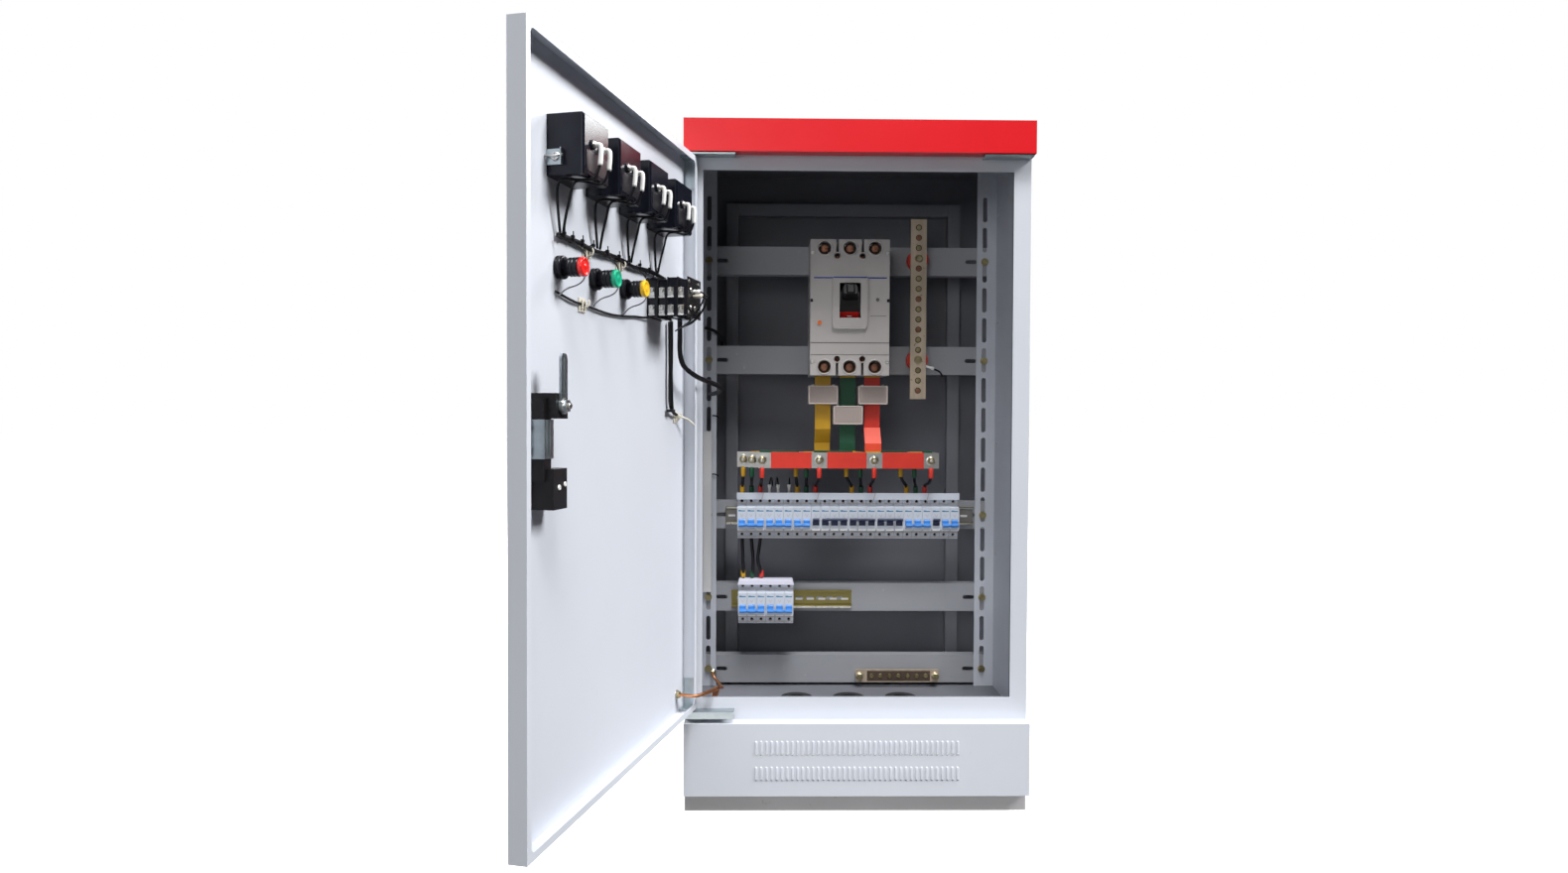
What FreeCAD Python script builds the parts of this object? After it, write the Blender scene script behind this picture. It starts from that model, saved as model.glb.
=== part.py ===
"""Low-voltage distribution cabinet with its door, breakers, bars and door instruments.

Millimetres, +Z up. The origin is the centre of the cabinet's footprint on the floor, between
the four floor bolts. -Y is the front. The door stands open at door_open_deg.
"""
import FreeCAD, Part
import math
import os

V = FreeCAD.Vector

# ---- overall sizes -------------------------------------------------------------------------
width = 600.0
height = 1200.0
depth = 370.0
sheet = 1.5            # panels, door and trays
frame_sheet = 2.0      # front frame and plinth base
fit_gap = 0.3          # gap between pieces that only sit beside each other
hole_gap = 0.05        # radial gap of a pin or shank in its hole

# ---- front frame, banner and plinth --------------------------------------------------------
jamb = 30.0
sill_z = 200.0
head_drop = 82.0
lip_depth = 7.0
proud = 25.0           # banner and plinth panel stand this far before the frame
banner_height = 56.0
banner_overhang = 2.0
plinth_height = 35.0
plinth_flange = 45.0
plinth_flange_t = 3.0
plinth_panel_top = 161.0
vent_columns = 40
vent_pitch = 8.95
vent_width = 2.6
vent_height = 24.5
vent_rows_z = (74.0, 119.0)
floor_z = 150.0
bolt_hole_r = 6.0
bolt_inset = 25.0

# ---- gland plate ---------------------------------------------------------------------------
gland_width = 360.0
gland_depth = 130.0
gland_y = -30.0
gland_plate_t = 2.0
gland_overlap = 15.0
entry_r = 25.0
entry_bore_r = 15.0
entry_pitch = 100.0
entry_count = 3
grommet_lip = 5.0
grommet_lip_t = 3.0

# ---- mounting rails and beams --------------------------------------------------------------
rail_set_back = 247.0
rail_width = 38.5
rail_flange = 40.0
rail_sheet = 2.0
slot_pitch = 60.0
slot_length = 49.0
slot_width = 9.0
slot_first_z = 182.0
rail_bolt_inset = 23.0
beam_height = 56.0
beam_flange = 25.0
beam_sheet = 2.0
beam_end_gap = 0.5
beam_slot_inset = 50.0
beam_slot_length = 23.0
beam_slot_width = 8.0
beam_drops = (197.0, 395.0, 705.0, 871.0)
earth_beam_rise = 34.0
m6_r = 3.0
stiffener_width = 25.0
stiffener_depth = 20.0
stiffener_x = 233.0
strip_width = 16.5
strip_length = 320.0
strip_shift = 2.0
strip_stand = 6.5         # the strip stands this far before the rail
strip_t = 5.0
strip_drop = 539.0

# ---- main breaker --------------------------------------------------------------------------
mccb_width = 150.0
mccb_height = 257.0
mccb_depth = 109.0
mccb_base_depth = 48.0
mccb_x = -2.5
mccb_pole_pitch = 48.0
mccb_shoulder = 6.0        # the escutcheon stands this far before the cover
mccb_escutcheon = (67.0, 100.0)
mccb_escutcheon_rise = 9.0
terminal_inset = 16.0
terminal_well_r = 13.0
terminal_bar = (30.0, 30.0, 4.0)
terminal_screw_r = 5.0
fixing_inset = 31.0
fixing_r = 6.0
barrier_slot = (5.0, 24.0)
lever_window = (40.0, 66.0)
lever_slide_r = 41.0
lever_slide_t = 3.0
lever_throw_deg = 36.0
lever_grip = (16.0, 20.0, 17.0)
lever_axle_r = 3.0
lever_z_rise = 13.0
test_button_r = 4.0
test_button_stroke = 2.0
test_button_rise = 2.5
test_button_at = (-57.5, -29.0)

# ---- busbars -------------------------------------------------------------------------------
bar_t = 4.0
bar_height = 30.0
bar_right_x = 172.0
bar_left_x = (-217.0, -195.0, -175.0)
bar_set_back = (205.0, 185.0, 165.0)
bar_drop = 592.0           # bar centre below the top of the cabinet
tap_x = ((-205.0, -102.0, -3.0, 104.0), (-188.0, -82.0, 22.5, 128.0), (-168.0, -58.5, 47.5, 156.5))
tap_bolt_r = 4.0
tap_head_r = 6.5
tap_head_t = 4.5
ct_size = (57.0, 40.0, 36.0)
ct_window_gap = 0.3
ct_drops = (466.0, 505.0, 466.0)

# ---- breaker rows --------------------------------------------------------------------------
pole_pitch = 18.0
pole_gap = 0.4
pole_height = 81.0
row_1_poles = ((3, 0), (3, 0), (2, 0), (1, 1), (3, 1), (3, 1), (3, 1), (3, 0), (1, 1), (2, 0))
row_2_poles = ((3, 0), (3, 0))
row_1_x = -sum(poles for poles, on in row_1_poles) * pole_pitch / 2
row_2_x = -214.0
din_height = 35.0
din_depth = 7.5
din_sheet = 1.0
din_hat = 25.0
din_1_x = (-241.0, 256.0)
din_2_x = (-229.0, 12.0)
din_slot_pitch = 20.0
pole_hook = 3.5
shoulder_depth = 48.0
nose_depth = 65.0
nose_half = 24.0
drum_r = 9.0
drum_gap = 0.4
drum_width = 12.4
drum_sunk = 7.0
drum_z = -7.0
toggle_reach = 18.0
toggle_t = 4.8
toggle_throw_deg = 44.0
tie_t = 5.0
shield_height = 13.0
shield_depth = 11.0
wire_r = 2.6

# ---- neutral and earth bars ----------------------------------------------------------------
neutral_x = 138.0
neutral_width = 31.0
neutral_length = 353.0
neutral_t = 5.0
neutral_pitch = 20.0
neutral_screws = 17
insulator_r = 20.0
insulator_length = 30.0
earth_x = (20.0, 186.0)
earth_height = 25.0
earth_t = 5.0
earth_stand_off = 20.0
earth_screws = 7
earth_screw_x = (51.0, 159.0)
earth_bolt_x = (27.0, 178.0)
screw_r = 2.5
screw_head_r = 4.5
screw_head_t = 3.0

# ---- door ----------------------------------------------------------------------------------
door_open_deg = 104.0
hinge_inset = 8.0          # hinge axis in from the cabinet's side
hinge_stand_off = 14.0     # hinge axis before the frame face
door_t = 24.0
door_edge = 6.0            # hinge axis to the door's hinge edge
door_side_gap = 2.0
door_sill_overlap = 16.0
door_head_overlap = 18.0
door_lip = 10.0
hinge_pin_r = 4.0
hinge_plate_length = 84.0
hinge_plate_gap = 3.0
hinge_leaf = 3.0
hinge_pin_rise = 5.5
hinge_bracket = (14.0, 52.0)

# ---- door instruments ----------------------------------------------------------------------
meter_body = (72.0, 74.0, 48.0)
meter_bezel = (80.0, 80.0, 12.0)
meter_pitch = 109.0
meter_count = 4
meter_drop = 118.0
meter_window = (70.0, 58.0, 2.0)
lamp_first_u = 468.0
lamp_pitch = 102.0
lamp_count = 3
lamp_drop = 261.0
lamp_r = 11.0
lamp_nut_r = 14.0
lamp_nut_t = 8.0
lamp_tail = 36.0
lamp_lens_r = 14.5
lamp_lens_rise = 11.0
switch_u = 140.0
switch_body = 60.0
switch_length = 65.0
switch_plate = 64.0
switch_plate_t = 4.0
switch_hub_r = 9.0
knob_r = 19.0
knob_t = 10.0
knob_grip = (9.0, 14.0)
knob_throw_deg = 90.0

# ---- door lock -----------------------------------------------------------------------------
lock_u = 523.0
lock_rise = 43.0           # spindle above the door's middle
lock_plate = (42.0, 152.0, 3.0)
lock_plate_shift = 6.0     # towards the free edge
lock_plate_rise = 20.0
lock_spindle_r = 6.0
lock_block = (30.0, 30.0, 32.0)
lock_neck = (18.0, 88.0, 20.0)
lock_neck_shift = 13.0
lock_neck_rise = 9.0
lock_spindle_gap = 1.0
lock_foot = (34.0, 48.0, 30.0)
lock_foot_drop = 98.0
lock_clamp_size = (44.0, 46.0, 2.0)
lock_cam_length = 62.0
lock_cam_width = 16.0
lock_cam_t = 3.0
lock_turn_deg = 90.0
handle_length = 118.0
handle_width = 22.0
handle_t = 9.0
handle_lift_deg = 45.0
handle_fork_gap = 0.4

# ---- wiring --------------------------------------------------------------------------------
bundle_r = 5.0
lead_r = 1.8
lamp_lead_r = 2.4
lamp_tail_r = 1.3
strap_r = 2.4
bundle_drop = 223.0
lamp_lead_drop = 294.0
loom_r = 3.5

# ---- worked out from the sizes above -------------------------------------------------------
half = width / 2
front_y = -depth / 2
back_y = depth / 2
head_z = height - head_drop
inner_half = half - sheet
rail_y = front_y + rail_set_back
beam_y = rail_y + rail_sheet
beam_zs = [height - drop for drop in beam_drops] + [floor_z + earth_beam_rise]
mccb_z = (beam_zs[0] + beam_zs[1]) / 2 - 5.0
mccb_front = beam_y - mccb_depth
mccb_cover_y = mccb_front + mccb_shoulder
mccb_base_y = beam_y - mccb_base_depth
lever_y = mccb_front + lever_slide_r + 9.0
lever_z = mccb_z + lever_z_rise
bar_z = height - bar_drop
pole_xs = [mccb_x + (i - 1) * mccb_pole_pitch for i in range(3)]
dropper_y = mccb_base_y - 12.0
hinge_x = -half + hinge_inset
hinge_y = front_y - hinge_stand_off
door_z0 = sill_z - door_sill_overlap
door_z1 = head_z + door_head_overlap
door_u1 = width - hinge_inset - door_side_gap
door_out = -door_t / 2
door_face = door_out + sheet
door_mid_z = (door_z0 + door_z1) / 2
meter_z = door_z1 - meter_drop
lamp_z = door_z1 - lamp_drop
lock_z = door_mid_z + lock_rise
bundle_z = door_z1 - bundle_drop
lamp_lead_z = door_z1 - lamp_lead_drop


# ---- small tools ---------------------------------------------------------------------------
def box(x0, x1, y0, y1, z0, z1):
    return Part.makeBox(x1 - x0, y1 - y0, z1 - z0, V(x0, y0, z0))


def block(x, y, z, sx, sy, sz):
    """Box centred on x and z that starts at y and runs sy towards +Y."""
    return box(x - sx / 2, x + sx / 2, y, y + sy, z - sz / 2, z + sz / 2)


def rod_y(x, y0, z, r, length):
    return Part.makeCylinder(r, length, V(x, y0, z), V(0, 1, 0))


def rod_z(x, y, z0, r, length):
    return Part.makeCylinder(r, length, V(x, y, z0), V(0, 0, 1))


def rod_x(x0, y, z, r, length):
    return Part.makeCylinder(r, length, V(x0, y, z), V(1, 0, 0))


def prism_y(sides, x, y0, z, r, length):
    """Regular prism along +Y, such as a hexagon head."""
    points = []
    for i in range(sides + 1):
        turn = 2 * math.pi * i / sides
        points.append(V(x + r * math.cos(turn), y0, z + r * math.sin(turn)))
    return Part.Face(Part.makePolygon(points)).extrude(V(0, length, 0))


def outline_x(points, x0, length):
    """Solid from a list of (y, z) corners, extruded along +X."""
    ring = [V(x0, y, z) for y, z in points]
    return Part.Face(Part.makePolygon(ring + ring[:1])).extrude(V(length, 0, 0))


def slot_z(x, y0, z, w, length, t):
    """Upright slot cutter with round ends, through t along +Y."""
    straight = length - w
    cutter = box(x - w / 2, x + w / 2, y0, y0 + t, z - straight / 2, z + straight / 2)
    for end in (-straight / 2, straight / 2):
        cutter = cutter.fuse(rod_y(x, y0, z + end, w / 2, t))
    return cutter


def slot_x(x, y0, z, w, length, t):
    """Level slot cutter with round ends, through t along +Y."""
    straight = length - w
    cutter = box(x - straight / 2, x + straight / 2, y0, y0 + t, z - w / 2, z + w / 2)
    for end in (-straight / 2, straight / 2):
        cutter = cutter.fuse(rod_y(x + end, y0, z, w / 2, t))
    return cutter


def cut(solid, tools):
    tools = list(tools)
    return solid.cut(Part.makeCompound(tools)) if tools else solid


def join(solids):
    whole = solids[0]
    for other in solids[1:]:
        whole = whole.fuse(other)
    return whole.removeSplitter()


def tube(points, r, name="wire"):
    """Round tube: straight runs joined by tangent arcs as large as the runs allow."""
    pts = [V(*p) for p in points]
    edges = []
    start = pts[0]
    radii = []
    for before, corner, after in zip(pts, pts[1:], pts[2:]):
        into = corner - before
        out = after - corner
        turn = into.getAngle(out)
        shorter = min(into.Length, out.Length)
        radius = 0.45 * shorter / math.tan(turn / 2)
        radii.append(radius)
        into.normalize()
        out.normalize()
        reach = 0.45 * shorter
        arc_in = corner - into * reach
        arc_out = corner + out * reach
        inward = (out - into)
        inward.normalize()
        middle = corner + inward * (radius / math.cos(turn / 2) - radius)
        edges.append(Part.LineSegment(start, arc_in).toShape())
        edges.append(Part.Arc(arc_in, middle, arc_out).toShape())
        start = arc_out
    edges.append(Part.LineSegment(start, pts[-1]).toShape())
    path = Part.Wire(edges)
    along = pts[1] - pts[0]
    ring = Part.Wire([Part.makeCircle(r, pts[0], along)])
    solid = path.makePipeShell([ring], True, False)
    expected = math.pi * r * r * path.Length
    if radii:
        print("%s r %.1f bends %s volume ratio %.4f" %
              (name, r, ["%.0f" % b for b in radii], solid.Volume / expected))
    return solid


def save(name, solids):
    shape = solids[0] if len(solids) == 1 else Part.makeCompound(solids)
    shape.exportStep("parts/%s.step" % name)
    print(name, len(shape.Solids), "valid" if shape.isValid() else "NOT VALID")


def on_door(solid):
    """Door pieces are drawn with the door shut, then swung open about the hinge axis."""
    swung = solid.copy()
    swung.rotate(V(hinge_x, hinge_y, 0), V(0, 0, 1), -door_open_deg)
    return swung


def save_door(name, solids):
    save(name, [on_door(s) for s in solids])


def door_box(u0, u1, v0, v1, z0, z1):
    return box(hinge_x + u0, hinge_x + u1, hinge_y + v0, hinge_y + v1, z0, z1)


def door_rod(u, v0, z, r, length):
    return rod_y(hinge_x + u, hinge_y + v0, z, r, length)


def tray(x0, x1, z0, z1, y0, y1, t):
    """Pressed tray: a front face with four flanges folded back."""
    outer = box(x0, x1, y0, y1, z0, z1)
    return outer.cut(box(x0 + t, x1 - t, y0 + t, y1, z0 + t, z1 - t))


# ---- cabinet shell -------------------------------------------------------------------------
def shell():
    side_z0 = plinth_height
    inside_y0 = front_y + frame_sheet
    for side, name in ((-1, "side_panel_left"), (1, "side_panel_right")):
        x0, x1 = sorted((side * half, side * inner_half))
        save(name, [box(x0, x1, inside_y0, back_y, side_z0, height)])
    save("top_panel", [box(-inner_half, inner_half, inside_y0, back_y - sheet, height - sheet, height)])
    save("back_panel", [box(-inner_half, inner_half, back_y - sheet, back_y, side_z0, height)])

    stiffeners = []
    back_inside = back_y - sheet
    top_z = height - sheet - 60.0
    for side in (-1, 1):
        outer = block(side * stiffener_x, back_inside - stiffener_depth, (floor_z + top_z) / 2,
                      stiffener_width, stiffener_depth, top_z - floor_z)
        inner = block(side * stiffener_x, back_inside - stiffener_depth + sheet, (floor_z + top_z) / 2,
                      stiffener_width - 2 * sheet, stiffener_depth, top_z - floor_z)
        stiffeners.append(outer.cut(inner))
    bridge_half = stiffener_x - stiffener_width / 2 - fit_gap
    bridge = box(-bridge_half, bridge_half, back_inside - stiffener_depth, back_inside,
                 top_z - stiffener_width, top_z)
    hollow = box(-bridge_half, bridge_half, back_inside - stiffener_depth + sheet, back_inside,
                 top_z - stiffener_width + sheet, top_z - sheet)
    stiffeners.append(bridge.cut(hollow))
    save("back_stiffeners", stiffeners)

    floor = box(-inner_half, inner_half, inside_y0, back_y - sheet, floor_z - sheet, floor_z)
    hole = box(-gland_width / 2, gland_width / 2, gland_y - gland_depth / 2, gland_y + gland_depth / 2,
               floor_z - sheet, floor_z)
    save("floor_plate", [floor.cut(hole)])

    grow = gland_overlap
    plate = box(-gland_width / 2 - grow, gland_width / 2 + grow, gland_y - gland_depth / 2 - grow,
                gland_y + gland_depth / 2 + grow, floor_z, floor_z + gland_plate_t)
    entries = [(i - (entry_count - 1) / 2) * entry_pitch for i in range(entry_count)]
    save("gland_plate", [cut(plate, [rod_z(x, gland_y, floor_z, entry_r, gland_plate_t)
                                     for x in entries])])
    grommets = []
    for x in entries:
        lip_z0 = floor_z - grommet_lip_t
        sleeve = rod_z(x, gland_y, lip_z0, entry_r - hole_gap, gland_plate_t + 2 * grommet_lip_t)
        for z in (lip_z0, floor_z + gland_plate_t):
            sleeve = sleeve.fuse(rod_z(x, gland_y, z, entry_r + grommet_lip, grommet_lip_t))
        bore = rod_z(x, gland_y, lip_z0, entry_bore_r, gland_plate_t + 2 * grommet_lip_t)
        grommets.append(sleeve.cut(bore))
    save("cable_grommets", grommets)


def front():
    face = box(-half, half, front_y, front_y + frame_sheet, plinth_height, height)
    open_half = half - jamb
    face = face.cut(box(-open_half, open_half, front_y, front_y + frame_sheet, sill_z, head_z))
    lower = plinth_height + jamb
    face = face.cut(box(-open_half, open_half, front_y, front_y + frame_sheet, lower,
                        plinth_panel_top - jamb / 2))
    lip_outer = box(-open_half - frame_sheet, open_half + frame_sheet, front_y + frame_sheet,
                    front_y + lip_depth, sill_z - frame_sheet, head_z + frame_sheet)
    lip = lip_outer.cut(box(-open_half, open_half, front_y, front_y + lip_depth, sill_z, head_z))
    save("front_frame", [face.fuse(lip).removeSplitter()])

    over = half + banner_overhang
    save("banner_panel", [tray(-over, over, height - banner_height, height, front_y - proud, front_y, sheet)])

    panel = tray(-half, half, plinth_height, plinth_panel_top, front_y - proud, front_y, sheet)
    vents = []
    for z in vent_rows_z:
        for i in range(vent_columns):
            x = (i - (vent_columns - 1) / 2) * vent_pitch
            vents.append(slot_z(x, front_y - proud, z, vent_width, vent_height, sheet))
    save("plinth_panel", [cut(panel, vents)])

    ring = box(-half, half, front_y, back_y, 0, plinth_height)
    ring = ring.cut(box(-half + frame_sheet, half - frame_sheet, front_y + frame_sheet,
                        back_y - frame_sheet, 0, plinth_height))
    flange = box(-half, half, front_y, back_y, 0, plinth_flange_t)
    flange = flange.cut(box(-half + plinth_flange, half - plinth_flange, front_y + plinth_flange,
                            back_y - plinth_flange, 0, plinth_flange_t))
    base = ring.fuse(flange).removeSplitter()
    holes = [rod_z(sx * (half - bolt_inset), sy * (depth / 2 - bolt_inset), 0, bolt_hole_r, plinth_flange_t)
             for sx in (-1, 1) for sy in (-1, 1)]
    save("plinth_base", [cut(base, holes)])


# ---- rails and beams -----------------------------------------------------------------------
def rails():
    z0 = floor_z
    z1 = height - 3 * sheet
    bolt_x = inner_half - rail_bolt_inset
    for side, name in ((-1, "mounting_rail_left"), (1, "mounting_rail_right")):
        x0, x1 = sorted((side * inner_half, side * (inner_half - rail_width)))
        face = box(x0, x1, rail_y, rail_y + rail_sheet, z0, z1)
        w0, w1 = sorted((side * inner_half, side * (inner_half - rail_sheet)))
        web = box(w0, w1, rail_y, rail_y + rail_flange, z0, z1)
        slots = []
        z = slot_first_z
        while z + slot_length < z1 - 10.0:
            slots.append(slot_z(side * bolt_x, rail_y, z + slot_length / 2, slot_width, slot_length,
                                rail_sheet))
            z += slot_pitch
        slots += [rod_y(side * bolt_x, rail_y, bz, slot_width / 2, rail_sheet) for bz in beam_zs]
        save(name, [cut(face.fuse(web), slots).removeSplitter()])

    beams = []
    bolts = []
    reach = inner_half - rail_sheet - beam_end_gap
    for bz in beam_zs:
        outer = box(-reach, reach, beam_y, beam_y + beam_flange, bz - beam_height / 2, bz + beam_height / 2)
        hollow = box(-reach, reach, beam_y + beam_sheet, beam_y + beam_flange,
                     bz - beam_height / 2 + beam_sheet, bz + beam_height / 2 - beam_sheet)
        holes = []
        for side in (-1, 1):
            holes.append(slot_x(side * (inner_half - beam_slot_inset), beam_y, bz, beam_slot_width,
                                beam_slot_length, beam_sheet))
            holes.append(rod_y(side * bolt_x, beam_y, bz, m6_r + hole_gap, beam_sheet))
            shank = rod_y(side * bolt_x, rail_y, bz, m6_r, 3 * rail_sheet + 5.0)
            head = prism_y(6, side * bolt_x, rail_y - 6.0, bz, 2 * m6_r, 4.5)
            washer = rod_y(side * bolt_x, rail_y - 1.5, bz, 2.4 * m6_r, 1.5)
            nut = prism_y(6, side * bolt_x, beam_y + beam_sheet, bz, 2 * m6_r, 5.0)
            bolts.append(join([shank, head, washer, nut]))
        beams.append(cut(outer.cut(hollow), holes))
    save("cross_beams", beams)
    save("rail_bolts", bolts)

    strip_x = -(inner_half - rail_bolt_inset) - strip_shift
    strip_z1 = height - strip_drop
    strip = box(strip_x - strip_width / 2, strip_x + strip_width / 2, rail_y - strip_t - strip_stand,
                rail_y - strip_stand, strip_z1 - strip_length, strip_z1)
    legs = [block(strip_x, rail_y - strip_stand, z, strip_width, strip_stand, 10.0)
            for z in (strip_z1 - 20.0, strip_z1 - strip_length + 60.0)]
    save("rail_cover_strip", [join([strip] + legs)])


# ---- main breaker --------------------------------------------------------------------------
def main_breaker():
    base = block(mccb_x, mccb_base_y, mccb_z, mccb_width, mccb_base_depth, mccb_height)
    end_z = mccb_height / 2
    fixings = [(mccb_x + (i - 0.5) * mccb_pole_pitch, mccb_z + s * (end_z - fixing_inset))
               for i in (0, 1) for s in (-1, 1)]
    base = cut(base, [rod_y(x, mccb_base_y, z, fixing_r / 2, mccb_base_depth) for x, z in fixings])
    lever_bay = block(mccb_x, mccb_front, lever_z, 46.0, beam_y - mccb_front - 12.0, 100.0)
    axle_bore = rod_x(mccb_x - 30.0, lever_y, lever_z, lever_axle_r + hole_gap, 60.0)
    save("mccb_base", [cut(base, [lever_bay, axle_bore])])

    cover_depth = mccb_base_y - mccb_cover_y
    cover = block(mccb_x, mccb_cover_y, mccb_z, mccb_width, cover_depth, mccb_height)
    raised = block(mccb_x, mccb_front, mccb_z + mccb_escutcheon_rise, mccb_escutcheon[0], mccb_shoulder,
                   mccb_escutcheon[1])
    upright = [e for e in raised.Edges if abs(e.tangentAt(e.FirstParameter).y) > 0.9]
    cover = cover.fuse(raised.makeFillet(8.0, upright))
    tools = []
    bay_front = mccb_front + mccb_shoulder + 1.5
    tools.append(block(mccb_x, bay_front, lever_z, 46.0, mccb_base_y - bay_front, 100.0))
    tools.append(block(mccb_x, mccb_front, lever_z, lever_window[0], 12.0, lever_window[1]))
    tools.append(rod_x(mccb_x - 30.0, lever_y, lever_z, lever_axle_r + hole_gap, 60.0))
    for side in (-1, 1):
        z = mccb_z + side * (end_z - terminal_inset)
        for x in pole_xs:
            tools.append(rod_y(x, mccb_cover_y, z, terminal_well_r, cover_depth))
            mouth_a, mouth_b = sorted((side * end_z, side * (end_z - terminal_bar[1] - 1.0)))
            tools.append(box(x - terminal_bar[0] / 2 - 1.0, x + terminal_bar[0] / 2 + 1.0, mccb_base_y - 22.0,
                             mccb_base_y, mccb_z + mouth_a, mccb_z + mouth_b))
        for i in (0, 1):
            x = mccb_x + (i - 0.5) * mccb_pole_pitch
            z_slot = mccb_z + side * (end_z - barrier_slot[1] / 2)
            tools.append(block(x, mccb_cover_y, z_slot, barrier_slot[0], 30.0, barrier_slot[1]))
    for x, z in fixings:
        tools.append(rod_y(x, mccb_cover_y, z, fixing_r, cover_depth - 6.0))
        tools.append(rod_y(x, mccb_cover_y, z, fixing_r / 2, cover_depth))
    bx, bz = test_button_at
    tools.append(rod_y(mccb_x + bx, mccb_cover_y, mccb_z + bz, test_button_r + hole_gap, 16.0))
    save("mccb_cover", [cut(cover, tools)])

    button_y = mccb_cover_y - test_button_rise
    save("mccb_test_button", [rod_y(mccb_x + bx, button_y, mccb_z + bz, test_button_r, 14.0)])

    slide = rod_x(mccb_x - 19.5, lever_y, lever_z, lever_slide_r, 39.0)
    slide = slide.cut(rod_x(mccb_x - 19.5, lever_y, lever_z, lever_slide_r - lever_slide_t, 39.0))
    keep = outline_x([(lever_y, lever_z), (lever_y - 60.0, lever_z + 66.0), (lever_y - 60.0, lever_z - 66.0)],
                     mccb_x - 19.5, 39.0)
    slide = slide.common(keep)
    spokes = [box(mccb_x + s * 15.0 - 2.0, mccb_x + s * 15.0 + 2.0, lever_y - lever_slide_r + 1.0, lever_y,
                  lever_z - 7.0, lever_z + 7.0) for s in (-1, 1)]
    axle = rod_x(mccb_x - 29.0, lever_y, lever_z, lever_axle_r, 58.0)
    grip_w, grip_h, grip_out = lever_grip
    grip = block(mccb_x, mccb_front - grip_out, lever_z, grip_w, grip_out + 14.0, grip_h)
    front_edges = [e for e in grip.Edges if e.BoundBox.YMax < mccb_front - grip_out + 0.01]
    grip = grip.makeFillet(3.0, front_edges)
    lever = join([slide, grip, axle] + spokes)
    lever.rotate(V(mccb_x, lever_y, lever_z), V(1, 0, 0), -lever_throw_deg / 2)
    save("mccb_lever", [lever])

    pieces = []
    bar_w, bar_h, bar_thick = terminal_bar
    for side in (-1, 1):
        z = mccb_z + side * (end_z - bar_h / 2)
        screw_z = mccb_z + side * (end_z - terminal_inset)
        for x in pole_xs:
            bar = block(x, mccb_base_y - bar_thick, z, bar_w, bar_thick, bar_h)
            if side > 0:
                pieces.append(bar.cut(rod_y(x, mccb_base_y - bar_thick, screw_z, terminal_screw_r, bar_thick)))
            else:
                screw = prism_y(6, x, mccb_base_y - bar_thick - 14.3, screw_z, 8.0, 6.0)
                shank = rod_y(x, mccb_base_y - bar_thick - 9.0, screw_z, terminal_screw_r - 0.5, 9.0)
                pieces.append(join([bar, screw, shank]))
    save("mccb_terminals", pieces)


# ---- busbars -------------------------------------------------------------------------------
def busbars():
    bars = []
    bolts = []
    for i in range(3):
        y0 = front_y + bar_set_back[i]
        bar = box(bar_left_x[i], bar_right_x, y0, y0 + bar_t, bar_z - bar_height / 2, bar_z + bar_height / 2)
        holes = [rod_y(x, y0, bar_z, tap_bolt_r + hole_gap, bar_t) for x in tap_x[i]]
        bars.append(cut(bar, holes))
        for x in tap_x[i]:
            shank = rod_y(x, y0, bar_z, tap_bolt_r, bar_t + 3.0)
            head = prism_y(6, x, y0 - tap_head_t, bar_z, tap_head_r, tap_head_t)
            bolts.append(shank.fuse(head))
    save("busbars", bars)

    droppers = []
    top = mccb_z - mccb_height / 2
    end = bar_z - bar_height / 2 + 2.0
    bar_y = mccb_base_y - terminal_bar[2]
    for i in range(3):
        x = pole_xs[i]
        start_y = bar_y - bar_t
        down_y = front_y + bar_set_back[i] + bar_t
        z_a = bar_z + bar_height / 2 + 45.0
        z_b = bar_z + bar_height / 2 + 18.0
        z_top = top + terminal_bar[1] - 3.0
        line = [(start_y, z_top), (start_y, z_a), (down_y, z_b), (down_y, end)]
        back = [(y + bar_t, z) for y, z in reversed(line)]
        if abs(down_y - start_y) < 1.0:
            line = [(start_y, z_top), (start_y, end)]
            back = [(start_y + bar_t, end), (start_y + bar_t, z_top)]
        bar = outline_x(line + back, x - bar_height / 2, bar_height)
        screw = rod_y(x, start_y, top + terminal_inset, terminal_screw_r, bar_t)
        tap = [rod_y(tx, down_y, bar_z, tap_bolt_r + hole_gap, bar_t)
               for tx in tap_x[i] if abs(tx - x) < bar_height / 2]
        droppers.append(cut(bar, [screw] + tap))
    save("phase_droppers", droppers)

    cts = []
    for i in range(3):
        x = pole_xs[i]
        cz = height - ct_drops[i]
        w, d, h = ct_size
        y_mid = bar_y - bar_t / 2
        body = box(x - w / 2, x + w / 2, y_mid - d / 2, y_mid + d / 2, cz - h / 2, cz + h / 2)
        body = body.makeFillet(2.0, [e for e in body.Edges if e.BoundBox.YMax < y_mid - d / 2 + 0.01])
        window = box(x - bar_height / 2 - ct_window_gap, x + bar_height / 2 + ct_window_gap,
                     y_mid - bar_t / 2 - ct_window_gap, y_mid + bar_t / 2 + ct_window_gap,
                     cz - h / 2, cz + h / 2)
        cts.append(body.cut(window))
    save("current_transformers", cts)
    return bolts


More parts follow.
